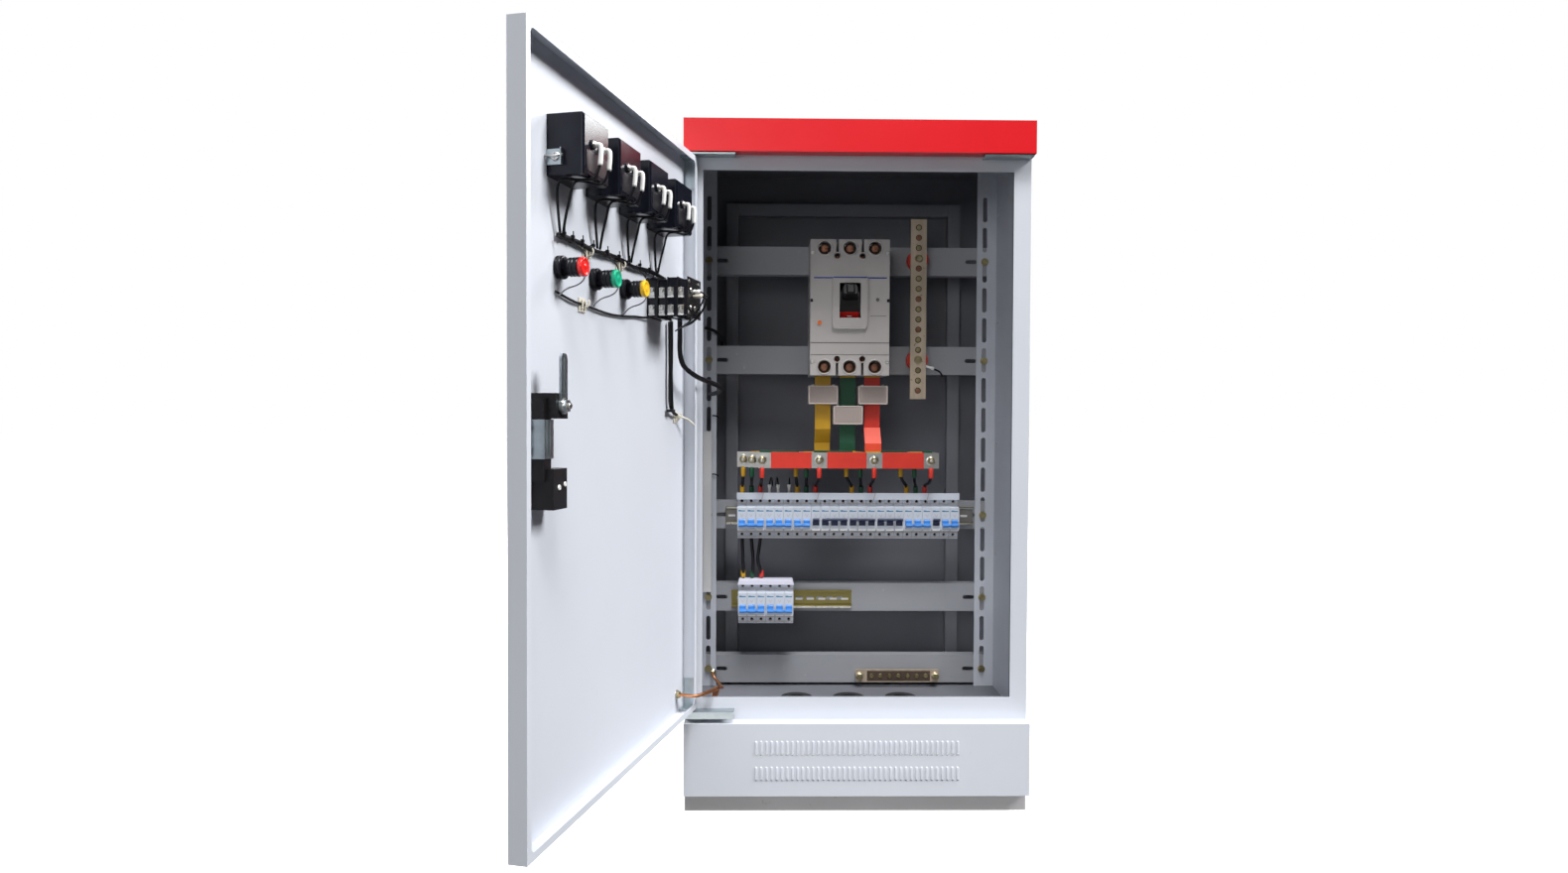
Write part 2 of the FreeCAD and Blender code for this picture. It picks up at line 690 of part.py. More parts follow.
# ---- breaker rows --------------------------------------------------------------------------
def pole(x0, z):
    """One breaker pole with its rail groove, stepped nose and toggle pocket."""
    back = beam_y - din_depth + pole_hook
    shoulder = beam_y - shoulder_depth
    nose = beam_y - nose_depth
    h = pole_height / 2
    profile = [(back, z - h), (shoulder, z - h), (shoulder, z - nose_half), (nose, z - nose_half + 3.0),
               (nose, z + nose_half - 3.0), (shoulder, z + nose_half), (shoulder, z + h), (back, z + h)]
    body = outline_x(profile, x0 + pole_gap / 2, pole_pitch - pole_gap)
    groove = box(x0, x0 + pole_pitch, beam_y - din_depth, back, z - din_height / 2 - 0.2,
                 z + din_height / 2 + 0.2)
    drum_w = drum_width + 2 * drum_gap
    pocket = rod_x(x0 + (pole_pitch - drum_w) / 2, nose + drum_sunk, z + drum_z, drum_r + drum_gap, drum_w)
    screws = [rod_y(x0 + pole_pitch / 2, shoulder, z + s * (h - 8.0), 3.0, 9.0) for s in (-1, 1)]
    return cut(body, [groove, pocket] + screws)


def toggle(x0, poles, on, z):
    """One breaker's toggles, joined by their tie bar; built level, then turned off or on."""
    axis_y = beam_y - nose_depth + drum_sunk
    axis_z = z + drum_z
    pieces = []
    for i in range(poles):
        x = x0 + i * pole_pitch + (pole_pitch - drum_width) / 2
        drum = rod_x(x, axis_y, axis_z, drum_r, drum_width)
        arm = box(x, x + drum_width, axis_y - toggle_reach, axis_y, axis_z - toggle_t / 2, axis_z + toggle_t / 2)
        arm = arm.makeFillet(1.5, [e for e in arm.Edges if e.BoundBox.YMax < axis_y - toggle_reach + 0.01
                                   and e.BoundBox.XLength > 1.0])
        pieces.append(drum.fuse(arm))
    if poles > 1:
        x = x0 + (pole_pitch - drum_width) / 2
        span = (poles - 1) * pole_pitch + drum_width
        y = axis_y - toggle_reach + 1.0
        pieces.append(box(x, x + span, y, y + tie_t, axis_z - toggle_t / 2 + 0.4, axis_z + toggle_t / 2 - 0.4))
    whole = join(pieces)
    turn = toggle_throw_deg / 2 if not on else -toggle_throw_deg / 2
    whole.rotate(V(0, axis_y, axis_z), V(1, 0, 0), turn)
    return whole


def din_rail(x0, x1, z):
    y0 = beam_y - din_depth
    hat = din_hat / 2
    outline = [(y0, din_height / 2), (y0, hat), (beam_y - din_sheet, hat), (beam_y - din_sheet, -hat),
               (y0, -hat), (y0, -din_height / 2), (y0 + din_sheet, -din_height / 2),
               (y0 + din_sheet, -hat - din_sheet), (beam_y, -hat - din_sheet), (beam_y, hat + din_sheet),
               (y0 + din_sheet, hat + din_sheet), (y0 + din_sheet, din_height / 2)]
    rail = outline_x([(y, z + dz) for y, dz in outline], x0, x1 - x0)
    slots = []
    x = x0 + 7.0 + din_slot_pitch / 2
    while x < x1 - 12.0:
        slots.append(slot_x(x, beam_y - din_sheet, z, 6.3, 15.0, din_sheet))
        x += din_slot_pitch
    return cut(rail, slots)


def breaker_rows():
    rows = ((1, row_1_x, row_1_poles, beam_zs[2] - 1.0), (2, row_2_x, row_2_poles, beam_zs[3] - 2.0))
    save("din_rails", [din_rail(din_1_x[0], din_1_x[1], rows[0][3]),
                       din_rail(din_2_x[0], din_2_x[1], rows[1][3])])
    number = 0
    for row, x_first, groups, z in rows:
        count = sum(poles for poles, on in groups)
        save("mcb_row_%d" % row, [pole(x_first + i * pole_pitch, z) for i in range(count)])
        x = x_first
        for poles, on in groups:
            number += 1
            save("mcb_toggle_%02d" % number, [toggle(x, poles, on, z)])
            x += poles * pole_pitch

    row_z = rows[0][3]
    count = sum(poles for poles, on in row_1_poles)
    top = row_z + pole_height / 2
    shoulder = beam_y - shoulder_depth
    shield = box(row_1_x - 1.0, row_1_x + count * pole_pitch + 1.0, shoulder - shield_depth, shoulder,
                 top - 4.0, top - 4.0 + shield_height)
    shield = shield.cut(box(row_1_x, row_1_x + count * pole_pitch, shoulder - shield_depth + 2.0, shoulder,
                            top + 1.5, top - 4.0 + shield_height))
    save("terminal_shield", [shield])

    wires = []
    entry_y = shoulder + 14.0
    entry_z = top
    bar_low = bar_z - bar_height / 2
    for i in range(3):
        for k, x_bar in enumerate(tap_x[i]):
            x_pole = row_1_x + pole_pitch * (i + (0, 6, 12, 18)[k]) + pole_pitch / 2
            y_bar = front_y + bar_set_back[i] + bar_t / 2
            mid_z = (bar_low + entry_z) / 2
            route = [(x_bar, y_bar, bar_low), (x_bar, y_bar, mid_z + 9.0), (x_pole, entry_y, mid_z - 9.0),
                     (x_pole, entry_y, entry_z)]
            wires.append(tube(route, wire_r, "feed"))
    low = row_z - pole_height / 2
    row_2_z = rows[1][3]
    high = row_2_z + pole_height / 2
    for i in range(3):
        x_a = row_1_x + pole_pitch * (i + 0.5)
        x_b = row_2_x + pole_pitch * (i + 0.5)
        mid = (low + high) / 2
        route = [(x_a, entry_y, low), (x_a, entry_y, mid + 22.0), ((x_a + x_b) / 2, entry_y - 9.0, mid),
                 (x_b, entry_y, mid - 22.0), (x_b, entry_y, high)]
        wires.append(tube(route, wire_r, "link"))
    bond_x = -inner_half + rail_width - 6.0
    bond_z = beam_zs[4] - 8.0
    wires.append(tube([(bond_x, rail_y, bond_z), (bond_x, rail_y - 14.0, bond_z),
                       (bond_x + 12.0, rail_y - 20.0, bond_z - 8.0), (bond_x + 20.0, rail_y - 20.0, floor_z + 9.0),
                       (bond_x + 20.0, rail_y - 20.0, floor_z)], wire_r, "bond"))
    save("feeder_wires", wires)


# ---- neutral and earth bars ----------------------------------------------------------------
def neutral_and_earth(bolts):
    bar_back = beam_y - insulator_length
    z_mid = (beam_zs[0] + beam_zs[1]) / 2
    bar = block(neutral_x, bar_back - neutral_t, z_mid, neutral_width, neutral_t, neutral_length)
    holes = []
    fix_r = m6_r
    for z in beam_zs[:2]:
        holes.append(rod_y(neutral_x, bar_back - neutral_t, z, fix_r + hole_gap, neutral_t))
        bolts.append(prism_y(6, neutral_x, bar_back - neutral_t - 5.0, z, 2.2 * m6_r, 5.0)
                     .fuse(rod_y(neutral_x, bar_back - neutral_t, z, fix_r, neutral_t + 8.0)))
    for i in range(neutral_screws):
        z = z_mid + (i - (neutral_screws - 1) / 2) * neutral_pitch
        if min(abs(z - bz) for bz in beam_zs[:2]) < 2.2 * m6_r + screw_head_r + 0.5:
            continue
        holes.append(rod_y(neutral_x, bar_back - neutral_t, z, screw_r + hole_gap, neutral_t))
        bolts.append(rod_y(neutral_x, bar_back - neutral_t - screw_head_t, z, screw_head_r, screw_head_t)
                     .fuse(rod_y(neutral_x, bar_back - neutral_t, z, screw_r, neutral_t)))
    save("neutral_bar", [cut(bar, holes)])

    insulators = []
    for z in beam_zs[:2]:
        y0 = bar_back
        waist = rod_y(neutral_x, y0, z, insulator_r - 4.0, insulator_length)
        ends = [rod_y(neutral_x, y0, z, insulator_r, 8.0),
                rod_y(neutral_x, beam_y - 8.0, z, insulator_r, 8.0)]
        whole = join([waist] + ends)
        insulators.append(whole.cut(rod_y(neutral_x, y0, z, fix_r + hole_gap, 9.0)))
    save("bar_insulators", insulators)

    z = beam_zs[4] - 8.0
    face_y = beam_y - earth_stand_off
    plate = box(earth_x[0], earth_x[1], face_y - earth_t, face_y, z - earth_height / 2, z + earth_height / 2)
    posts = [rod_y(x, face_y, z, 7.0, earth_stand_off) for x in earth_bolt_x]
    holes = []
    for x in earth_bolt_x:
        bolts.append(prism_y(6, x, face_y - earth_t - 5.0, z, 2.2 * m6_r, 5.0))
    for i in range(earth_screws):
        x = earth_screw_x[0] + (earth_screw_x[1] - earth_screw_x[0]) * i / (earth_screws - 1)
        holes.append(rod_y(x, face_y - earth_t, z, screw_r + hole_gap, earth_t))
        bolts.append(rod_y(x, face_y - earth_t - screw_head_t, z, screw_head_r, screw_head_t)
                     .fuse(rod_y(x, face_y - earth_t, z, screw_r, earth_t)))
    save("earth_bar", [cut(join([plate] + posts), holes)])
    save("bar_bolts", bolts)


# ---- door ----------------------------------------------------------------------------------
def door():
    v1 = door_t / 2
    skin = door_box(-door_edge, door_u1, door_out, v1, door_z0, door_z1)
    inside = door_box(-door_edge + sheet, door_u1 - sheet, door_face, v1 - sheet, door_z0 + sheet,
                      door_z1 - sheet)
    mouth = door_box(-door_edge + door_lip, door_u1 - door_lip, door_face, v1, door_z0 + door_lip,
                     door_z1 - door_lip)
    mouth = mouth.makeFillet(8.0, [e for e in mouth.Edges if e.BoundBox.YLength > 1.0])
    skin = skin.cut(inside).cut(mouth)
    holes = []
    for u in meter_us():
        holes.append(door_box(u - meter_body[0] / 2 - fit_gap, u + meter_body[0] / 2 + fit_gap, door_out,
                              door_face, meter_z - meter_body[1] / 2 - fit_gap,
                              meter_z + meter_body[1] / 2 + fit_gap))
    for u in lamp_us():
        holes.append(door_rod(u, door_out, lamp_z, lamp_r + fit_gap, sheet))
    holes.append(door_rod(switch_u, door_out, lamp_z, switch_hub_r + fit_gap, sheet))
    neck_u = lock_u + lock_neck_shift
    holes.append(door_box(neck_u - lock_neck[0] / 2 - fit_gap, neck_u + lock_neck[0] / 2 + fit_gap, door_out,
                          door_face, lock_z - lock_neck[1] - fit_gap, lock_z + lock_neck_rise + fit_gap))
    holes.append(door_rod(lock_u, door_out, lock_z, lock_spindle_r + lock_spindle_gap, sheet))
    for z in (door_z0, door_z1 - sheet):
        holes.append(rod_z(hinge_x, hinge_y, z, hinge_pin_r + hole_gap, sheet))
    save_door("door_panel", [cut(skin, holes)])

    brackets = []
    strip_w, strip_h = hinge_bracket
    for end, z_edge in ((1, door_z1), (-1, door_z0)):
        inner_z = z_edge - end * sheet
        z_a, z_b = sorted((inner_z, inner_z - end * strip_h))
        leaf = door_box(-door_edge + sheet, -door_edge + sheet + 2.0, door_face, v1 - sheet, z_a, z_b)
        p_a, p_b = sorted((inner_z, inner_z - end * 4.0))
        shelf = door_box(-door_edge + sheet, -door_edge + sheet + strip_w + 10.0, door_face, v1 - sheet, p_a,
                         p_b)
        q_a, q_b = sorted((inner_z - end * 4.0, z_edge + end * (hinge_plate_gap + hinge_pin_rise - 2.0)))
        pin = rod_z(hinge_x, hinge_y, q_a, hinge_pin_r, q_b - q_a)
        brackets.append(join([leaf, shelf, pin]))
    save_door("door_hinge_brackets", brackets)

    plates = []
    length = hinge_plate_length
    x0 = -half + 2.0
    for end, z_edge in ((1, door_z1), (-1, door_z0)):
        leaf_in = z_edge + end * hinge_plate_gap
        z_a, z_b = sorted((leaf_in, leaf_in + end * hinge_leaf))
        for x_a in ((x0,) if end < 0 else (x0, half - 2.0 - length)):
            leaf = box(x_a, x_a + length, front_y - proud + 1.0, front_y, z_a, z_b)
            pieces = [leaf]
            if end < 0:
                pieces.append(box(x_a, x_a + length, front_y - proud + 1.0, front_y - proud + 3.5,
                                  z_a - 9.0, z_b))
                pieces.append(box(x_a, x_a + length, front_y - 2.5, front_y, z_a - 9.0, z_b))
                pieces += [prism_y(6, x_a + length * s, front_y - 6.0, z_a - 4.5, 3.5, 4.0)
                           for s in (0.35, 0.55, 0.75)]
            solid = join(pieces)
            if x_a < 0:
                solid = solid.cut(rod_z(hinge_x, hinge_y, z_a, hinge_pin_r + hole_gap, z_b - z_a))
            plates.append(solid)
    save("hinge_plates", plates)


def meter_us():
    middle = (door_u1 - door_edge) / 2 + 7.0
    return [middle + (i - (meter_count - 1) / 2) * meter_pitch for i in range(meter_count)]


def lamp_us():
    return [lamp_first_u - i * lamp_pitch for i in range(lamp_count)]


def instruments():
    meters = []
    w, h, d = meter_body
    bw, bh, bd = meter_bezel
    for u in meter_us():
        body = door_box(u - w / 2, u + w / 2, door_out, door_face + d, meter_z - h / 2, meter_z + h / 2)
        body = body.makeFillet(3.0, [e for e in body.Edges if e.BoundBox.YMin > hinge_y + door_face + d - 0.01])
        bezel = door_box(u - bw / 2, u + bw / 2, door_out - bd, door_out, meter_z - bh / 2, meter_z + bh / 2)
        bezel = bezel.makeFillet(3.0, [e for e in bezel.Edges if e.BoundBox.YMax < hinge_y + door_out - bd + 0.01])
        ww, wh, wd = meter_window
        recess = door_box(u - ww / 2, u + ww / 2, door_out - bd, door_out - bd + wd,
                          meter_z + bh / 2 - 5.0 - wh, meter_z + bh / 2 - 5.0)
        meters.append(join([body, bezel]).cut(recess))
    save_door("panel_meters", meters)

    lamps = []
    for u in lamp_us():
        stem = door_rod(u, door_out, lamp_z, lamp_r, sheet + lamp_tail)
        nut = door_rod(u, door_face, lamp_z, lamp_nut_r, lamp_nut_t)
        lens = door_rod(u, door_out - lamp_lens_rise, lamp_z, lamp_lens_r, lamp_lens_rise)
        lens = lens.makeFillet(4.0, [e for e in lens.Edges
                                     if e.BoundBox.YMax < hinge_y + door_out - lamp_lens_rise + 0.01])
        lamps.append(join([stem, nut, lens]))
    save_door("signal_lamps", lamps)

    s = switch_body / 2
    layers = []
    y = door_face
    layer = switch_length / 4
    for i in range(4):
        inset = 0.0 if i % 2 == 0 else 3.0
        layers.append(door_box(switch_u - s + inset, switch_u + s - inset, y, y + layer, lamp_z - s + inset,
                               lamp_z + s - inset))
        y += layer
    neck = door_rod(switch_u, door_out, lamp_z, switch_hub_r, sheet)
    plate = door_box(switch_u - switch_plate / 2, switch_u + switch_plate / 2, door_out - switch_plate_t,
                     door_out, lamp_z - switch_plate / 2, lamp_z + switch_plate / 2)
    body = join(layers + [neck, plate])
    shaft_hole = door_rod(switch_u, door_out - switch_plate_t, lamp_z, 4.0 + hole_gap, 14.0)
    save_door("selector_switch_body", [body.cut(shaft_hole)])

    knob_y = door_out - switch_plate_t - fit_gap - knob_t
    disc = door_rod(switch_u, knob_y, lamp_z, knob_r, knob_t)
    grip_w, grip_out = knob_grip
    grip = door_box(switch_u - grip_w / 2, switch_u + grip_w / 2, knob_y - grip_out, knob_y,
                    lamp_z - knob_r + 1.0, lamp_z + knob_r - 1.0)
    grip = grip.makeFillet(3.0, [e for e in grip.Edges if e.BoundBox.YMax < hinge_y + knob_y - grip_out + 0.01])
    shaft = door_rod(switch_u, knob_y + knob_t, lamp_z, 4.0, fit_gap + 12.0)
    save_door("selector_switch_knob", [join([disc, grip, shaft])])


def lock():
    pw, ph, pt = lock_plate
    plate_top = lock_z + lock_plate_rise
    plate_u = lock_u + lock_plate_shift
    plate = door_box(plate_u - pw / 2, plate_u + pw / 2, door_out - pt, door_out, plate_top - ph, plate_top)
    plate = plate.makeFillet(6.0, [e for e in plate.Edges if e.BoundBox.YLength > 1.0])
    nw, nh, nd = lock_neck
    neck_u = lock_u + lock_neck_shift
    neck = door_box(neck_u - nw / 2, neck_u + nw / 2, door_out, door_face + nd, lock_z - nh,
                    lock_z + lock_neck_rise)
    bw, bh, bd = lock_block
    head = door_box(lock_u - bw / 2, lock_u + bw / 2, door_face, door_face + bd, lock_z - bh / 2, lock_z + bh / 2)
    fw, fh, fd = lock_foot
    foot = door_box(lock_u - fw / 2, lock_u + fw / 2, door_face, door_face + fd,
                    lock_z - lock_foot_drop - fh / 2, lock_z - lock_foot_drop + fh / 2)
    bore = door_rod(lock_u, door_out - pt, lock_z, lock_spindle_r + hole_gap, pt + sheet + bd)
    save_door("lock_housing", [join([plate, neck, head, foot]).cut(bore)])

    cw, ch, ct = lock_clamp_size
    clamp_z1 = lock_z - bh / 2 - 1.0
    clamp_z0 = clamp_z1 - ch
    bridge_v = door_face + nd
    bridge = door_box(neck_u - nw / 2 - ct, neck_u + nw / 2 + ct, bridge_v, bridge_v + ct, clamp_z0, clamp_z1)
    pieces = [bridge]
    for side in (-1, 1):
        a, b = sorted((neck_u + side * (nw / 2 + fit_gap), neck_u + side * (nw / 2 + fit_gap + ct)))
        pieces.append(door_box(a, b, door_face, bridge_v + ct, clamp_z0, clamp_z1))
        a, b = sorted((neck_u + side * (nw / 2 + fit_gap), neck_u + side * cw / 2))
        pieces.append(door_box(a, b, door_face, door_face + ct, clamp_z0, clamp_z1))
        for z in (clamp_z0 + 10.0, clamp_z1 - 10.0):
            pieces.append(door_rod(neck_u + side * (cw / 2 - 5.0), door_face + ct, z, 3.5, 2.5))
    save_door("lock_clamp", [join(pieces)])

    cam_v = door_face + bd + fit_gap
    spindle_v = door_out - pt - fit_gap
    spindle = door_rod(lock_u, spindle_v, lock_z, lock_spindle_r, cam_v + lock_cam_t + 4.0 - spindle_v)
    cam = door_box(lock_u - lock_cam_width / 2, lock_u + lock_cam_width / 2, cam_v, cam_v + lock_cam_t,
                   lock_z, lock_z + lock_cam_length)
    cam = cam.makeFillet(7.0, [e for e in cam.Edges if e.BoundBox.YLength > 1.0
                               and e.BoundBox.ZMin > lock_z + 1.0])
    root = door_rod(lock_u, cam_v, lock_z, lock_cam_width / 2 + 2.0, lock_cam_t)
    nut = prism_y(6, hinge_x + lock_u, hinge_y + cam_v + lock_cam_t, lock_z, 8.0, 5.0)
    boss_v = door_out - pt - fit_gap - handle_t
    boss = door_box(lock_u - 5.0, lock_u + 5.0, boss_v, door_out - pt - fit_gap, lock_z - 8.0, lock_z + 8.0)
    boss_hole = rod_x(hinge_x + lock_u - 6.0, hinge_y + boss_v + handle_t / 2, lock_z, 2.0 + hole_gap, 12.0)
    save_door("lock_cam", [join([spindle, cam, root, nut, boss]).cut(boss_hole)])

    grip = door_box(lock_u - handle_width / 2, lock_u + handle_width / 2, boss_v, boss_v + handle_t,
                    lock_z - handle_length, lock_z + 10.0)
    grip = grip.makeFillet(3.0, [e for e in grip.Edges if e.BoundBox.YMax < hinge_y + boss_v + 0.01])
    notch = door_box(lock_u - 5.0 - handle_fork_gap, lock_u + 5.0 + handle_fork_gap, boss_v, boss_v + handle_t,
                     lock_z - 13.0, lock_z + 10.0)
    pin = rod_x(hinge_x + lock_u - handle_width / 2 + 1.0, hinge_y + boss_v + handle_t / 2, lock_z, 2.0,
                handle_width - 2.0)
    top_round = rod_x(hinge_x + lock_u - handle_width / 2, hinge_y + boss_v + handle_t / 2, lock_z,
                      handle_t / 2, handle_width)
    trim = door_box(lock_u - handle_width / 2, lock_u + handle_width / 2, boss_v, boss_v + handle_t, lock_z,
                    lock_z + 10.0)
    handle = grip.cut(trim).fuse(top_round).cut(notch).fuse(pin)
    save_door("lock_handle", [handle.removeSplitter()])


# ---- wiring on the door and across the hinge -----------------------------------------------
def door_point(u, v, z):
    return (hinge_x + u, hinge_y + v, z)


def wiring():
    leads = []
    run_v = door_face + bundle_r
    u_a = meter_us()[-1] + 38.0
    leads.append(tube([door_point(u_a, run_v, bundle_z), door_point(u_a - 100.0, run_v + 2.0, bundle_z - 3.0),
                       door_point(u_a - 200.0, run_v, bundle_z + 1.0),
                       door_point(u_a - 300.0, run_v + 2.0, bundle_z - 2.0),
                       door_point(u_a - 382.0, run_v, bundle_z)], bundle_r, "bundle"))
    lead_v = door_face + lamp_lead_r
    low_u = lamp_first_u + 12.0
    leads.append(tube([door_point(low_u, lead_v, lamp_lead_z),
                       door_point(low_u - 60.0, lead_v + 1.5, lamp_lead_z + 4.0),
                       door_point(low_u - 130.0, lead_v, lamp_lead_z),
                       door_point(low_u - 200.0, lead_v + 1.5, lamp_lead_z + 3.0),
                       door_point(low_u - 254.0, lead_v, lamp_lead_z)], lamp_lead_r, "lamp lead"))
    back_v = door_face + meter_body[2]
    for u in meter_us():
        for side in (-1, 1):
            x = u + side * 13.0
            top = meter_z - 6.0
            leads.append(tube([door_point(x, back_v, top), door_point(x, back_v + 15.0, top),
                               door_point(x, back_v + 16.0, top - 30.0),
                               door_point(x, back_v - 8.0, top - 62.0),
                               door_point(x, run_v + 3.0, bundle_z + bundle_r + 2.0)], lead_r, "meter lead"))
    for u in lamp_us():
        for side in (-1, 1):
            x = u + side * 5.0
            tail_v = door_face + lamp_tail
            leads.append(tube([door_point(x, tail_v, lamp_z), door_point(x, tail_v + 8.0, lamp_z),
                               door_point(x, tail_v + 5.0, lamp_z - 16.0),
                               door_point(x, lead_v + 2.0, lamp_lead_z + lamp_lead_r + 4.0)], lamp_tail_r,
                              "lamp tail"))
    save_door("door_loom", leads)

    r = loom_r
    rail_x = -inner_half + rail_width / 2 + 2.0
    route = [on_door_point(62.0, door_face + r, bundle_z - 10.0),
             on_door_point(60.0, door_face + r + 1.0, bundle_z - 70.0),
             on_door_point(62.0, door_face + r, bundle_z - 132.0),
             on_door_point(50.0, door_face + r + 32.0, bundle_z - 156.0),
             (rail_x + 38.0, front_y + 60.0, bundle_z - 168.0),
             (rail_x + 30.0, front_y + 120.0, bundle_z - 176.0),
             (rail_x + 14.0, front_y + 180.0, bundle_z - 178.0),
             (rail_x + 4.0, rail_y - 22.0, bundle_z - 177.0),
             (rail_x + 4.0, rail_y, bundle_z - 177.0)]
    save("door_loom_crossing", [tube(route, r, "crossing")])

    strap_x = -half + jamb
    strap = [on_door_point(34.0, door_face, door_z0 + 34.0),
             on_door_point(34.0, door_face + 16.0, door_z0 + 34.0),
             on_door_point(24.0, door_face + 34.0, door_z0 + 30.0),
             (strap_x + 18.0, front_y - 4.0, sill_z + 13.0),
             (strap_x + 26.0, front_y + 26.0, sill_z + 9.0),
             (strap_x + 24.0, front_y + 60.0, sill_z + 2.0),
             (strap_x + 16.0, front_y + 88.0, floor_z + 24.0),
             (strap_x + 16.0, front_y + 88.0, floor_z)]
    save("earth_braid", [tube(strap, strap_r, "braid")])


def on_door_point(u, v, z):
    turn = math.radians(door_open_deg)
    x = hinge_x + u * math.cos(turn) + v * math.sin(turn)
    y = hinge_y - u * math.sin(turn) + v * math.cos(turn)
    return (x, y, z)


os.makedirs("parts", exist_ok=True)
shell()
front()
rails()
main_breaker()
breaker_rows()
neutral_and_earth(busbars())
door()
instruments()
lock()
wiring()
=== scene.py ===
"""Looks of the switchboard cabinet: finishes, fittings, wiring, lights and camera around the fixed frame."""
import math

import bmesh
import bpy
from mathutils import Matrix, Vector


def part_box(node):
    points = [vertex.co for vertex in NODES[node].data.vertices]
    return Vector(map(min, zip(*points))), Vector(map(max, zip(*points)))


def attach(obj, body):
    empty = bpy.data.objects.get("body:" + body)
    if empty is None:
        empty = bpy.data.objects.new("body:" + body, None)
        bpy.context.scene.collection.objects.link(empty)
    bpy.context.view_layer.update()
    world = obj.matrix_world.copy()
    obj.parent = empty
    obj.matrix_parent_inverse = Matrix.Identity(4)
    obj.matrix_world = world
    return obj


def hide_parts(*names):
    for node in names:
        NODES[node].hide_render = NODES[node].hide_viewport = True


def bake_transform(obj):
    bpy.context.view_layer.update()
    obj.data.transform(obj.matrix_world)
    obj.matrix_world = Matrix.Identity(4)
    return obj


bl_info = {
    "name": "Switchboard cabinet looks",
    "version": (1, 0, 0),
    "blender": (4, 5, 0),
    "location": "3D View > Sidebar > Switchboard",
    "description": "Dresses the switchboard cabinet with its finishes, fittings and wiring",
    "category": "Object",
}

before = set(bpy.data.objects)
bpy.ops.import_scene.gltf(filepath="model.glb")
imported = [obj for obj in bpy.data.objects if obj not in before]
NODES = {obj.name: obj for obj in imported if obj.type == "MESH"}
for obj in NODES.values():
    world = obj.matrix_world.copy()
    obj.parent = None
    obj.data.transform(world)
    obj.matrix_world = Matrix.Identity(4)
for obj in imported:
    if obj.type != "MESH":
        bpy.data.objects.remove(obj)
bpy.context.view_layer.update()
MM = 0.001
DOOR_OPEN = math.radians(104.0)
HINGE = (-292.0, -199.0)
FRONT_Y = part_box("front_frame")[0][1] / MM
DOOR_FACE = -10.5


# ---- places --------------------------------------------------------------------------------
def row_place(x, y, z):
    """A point of the cabinet, given in millimetres."""
    return Vector((x, y, z)) * MM


def door_place(u, v, z):
    """A point of the open door: u from the hinge to the free edge, v out of its inner face."""
    c, s = math.cos(DOOR_OPEN), math.sin(DOOR_OPEN)
    return Vector((HINGE[0] + u * c + v * s, HINGE[1] - u * s + v * c, z)) * MM


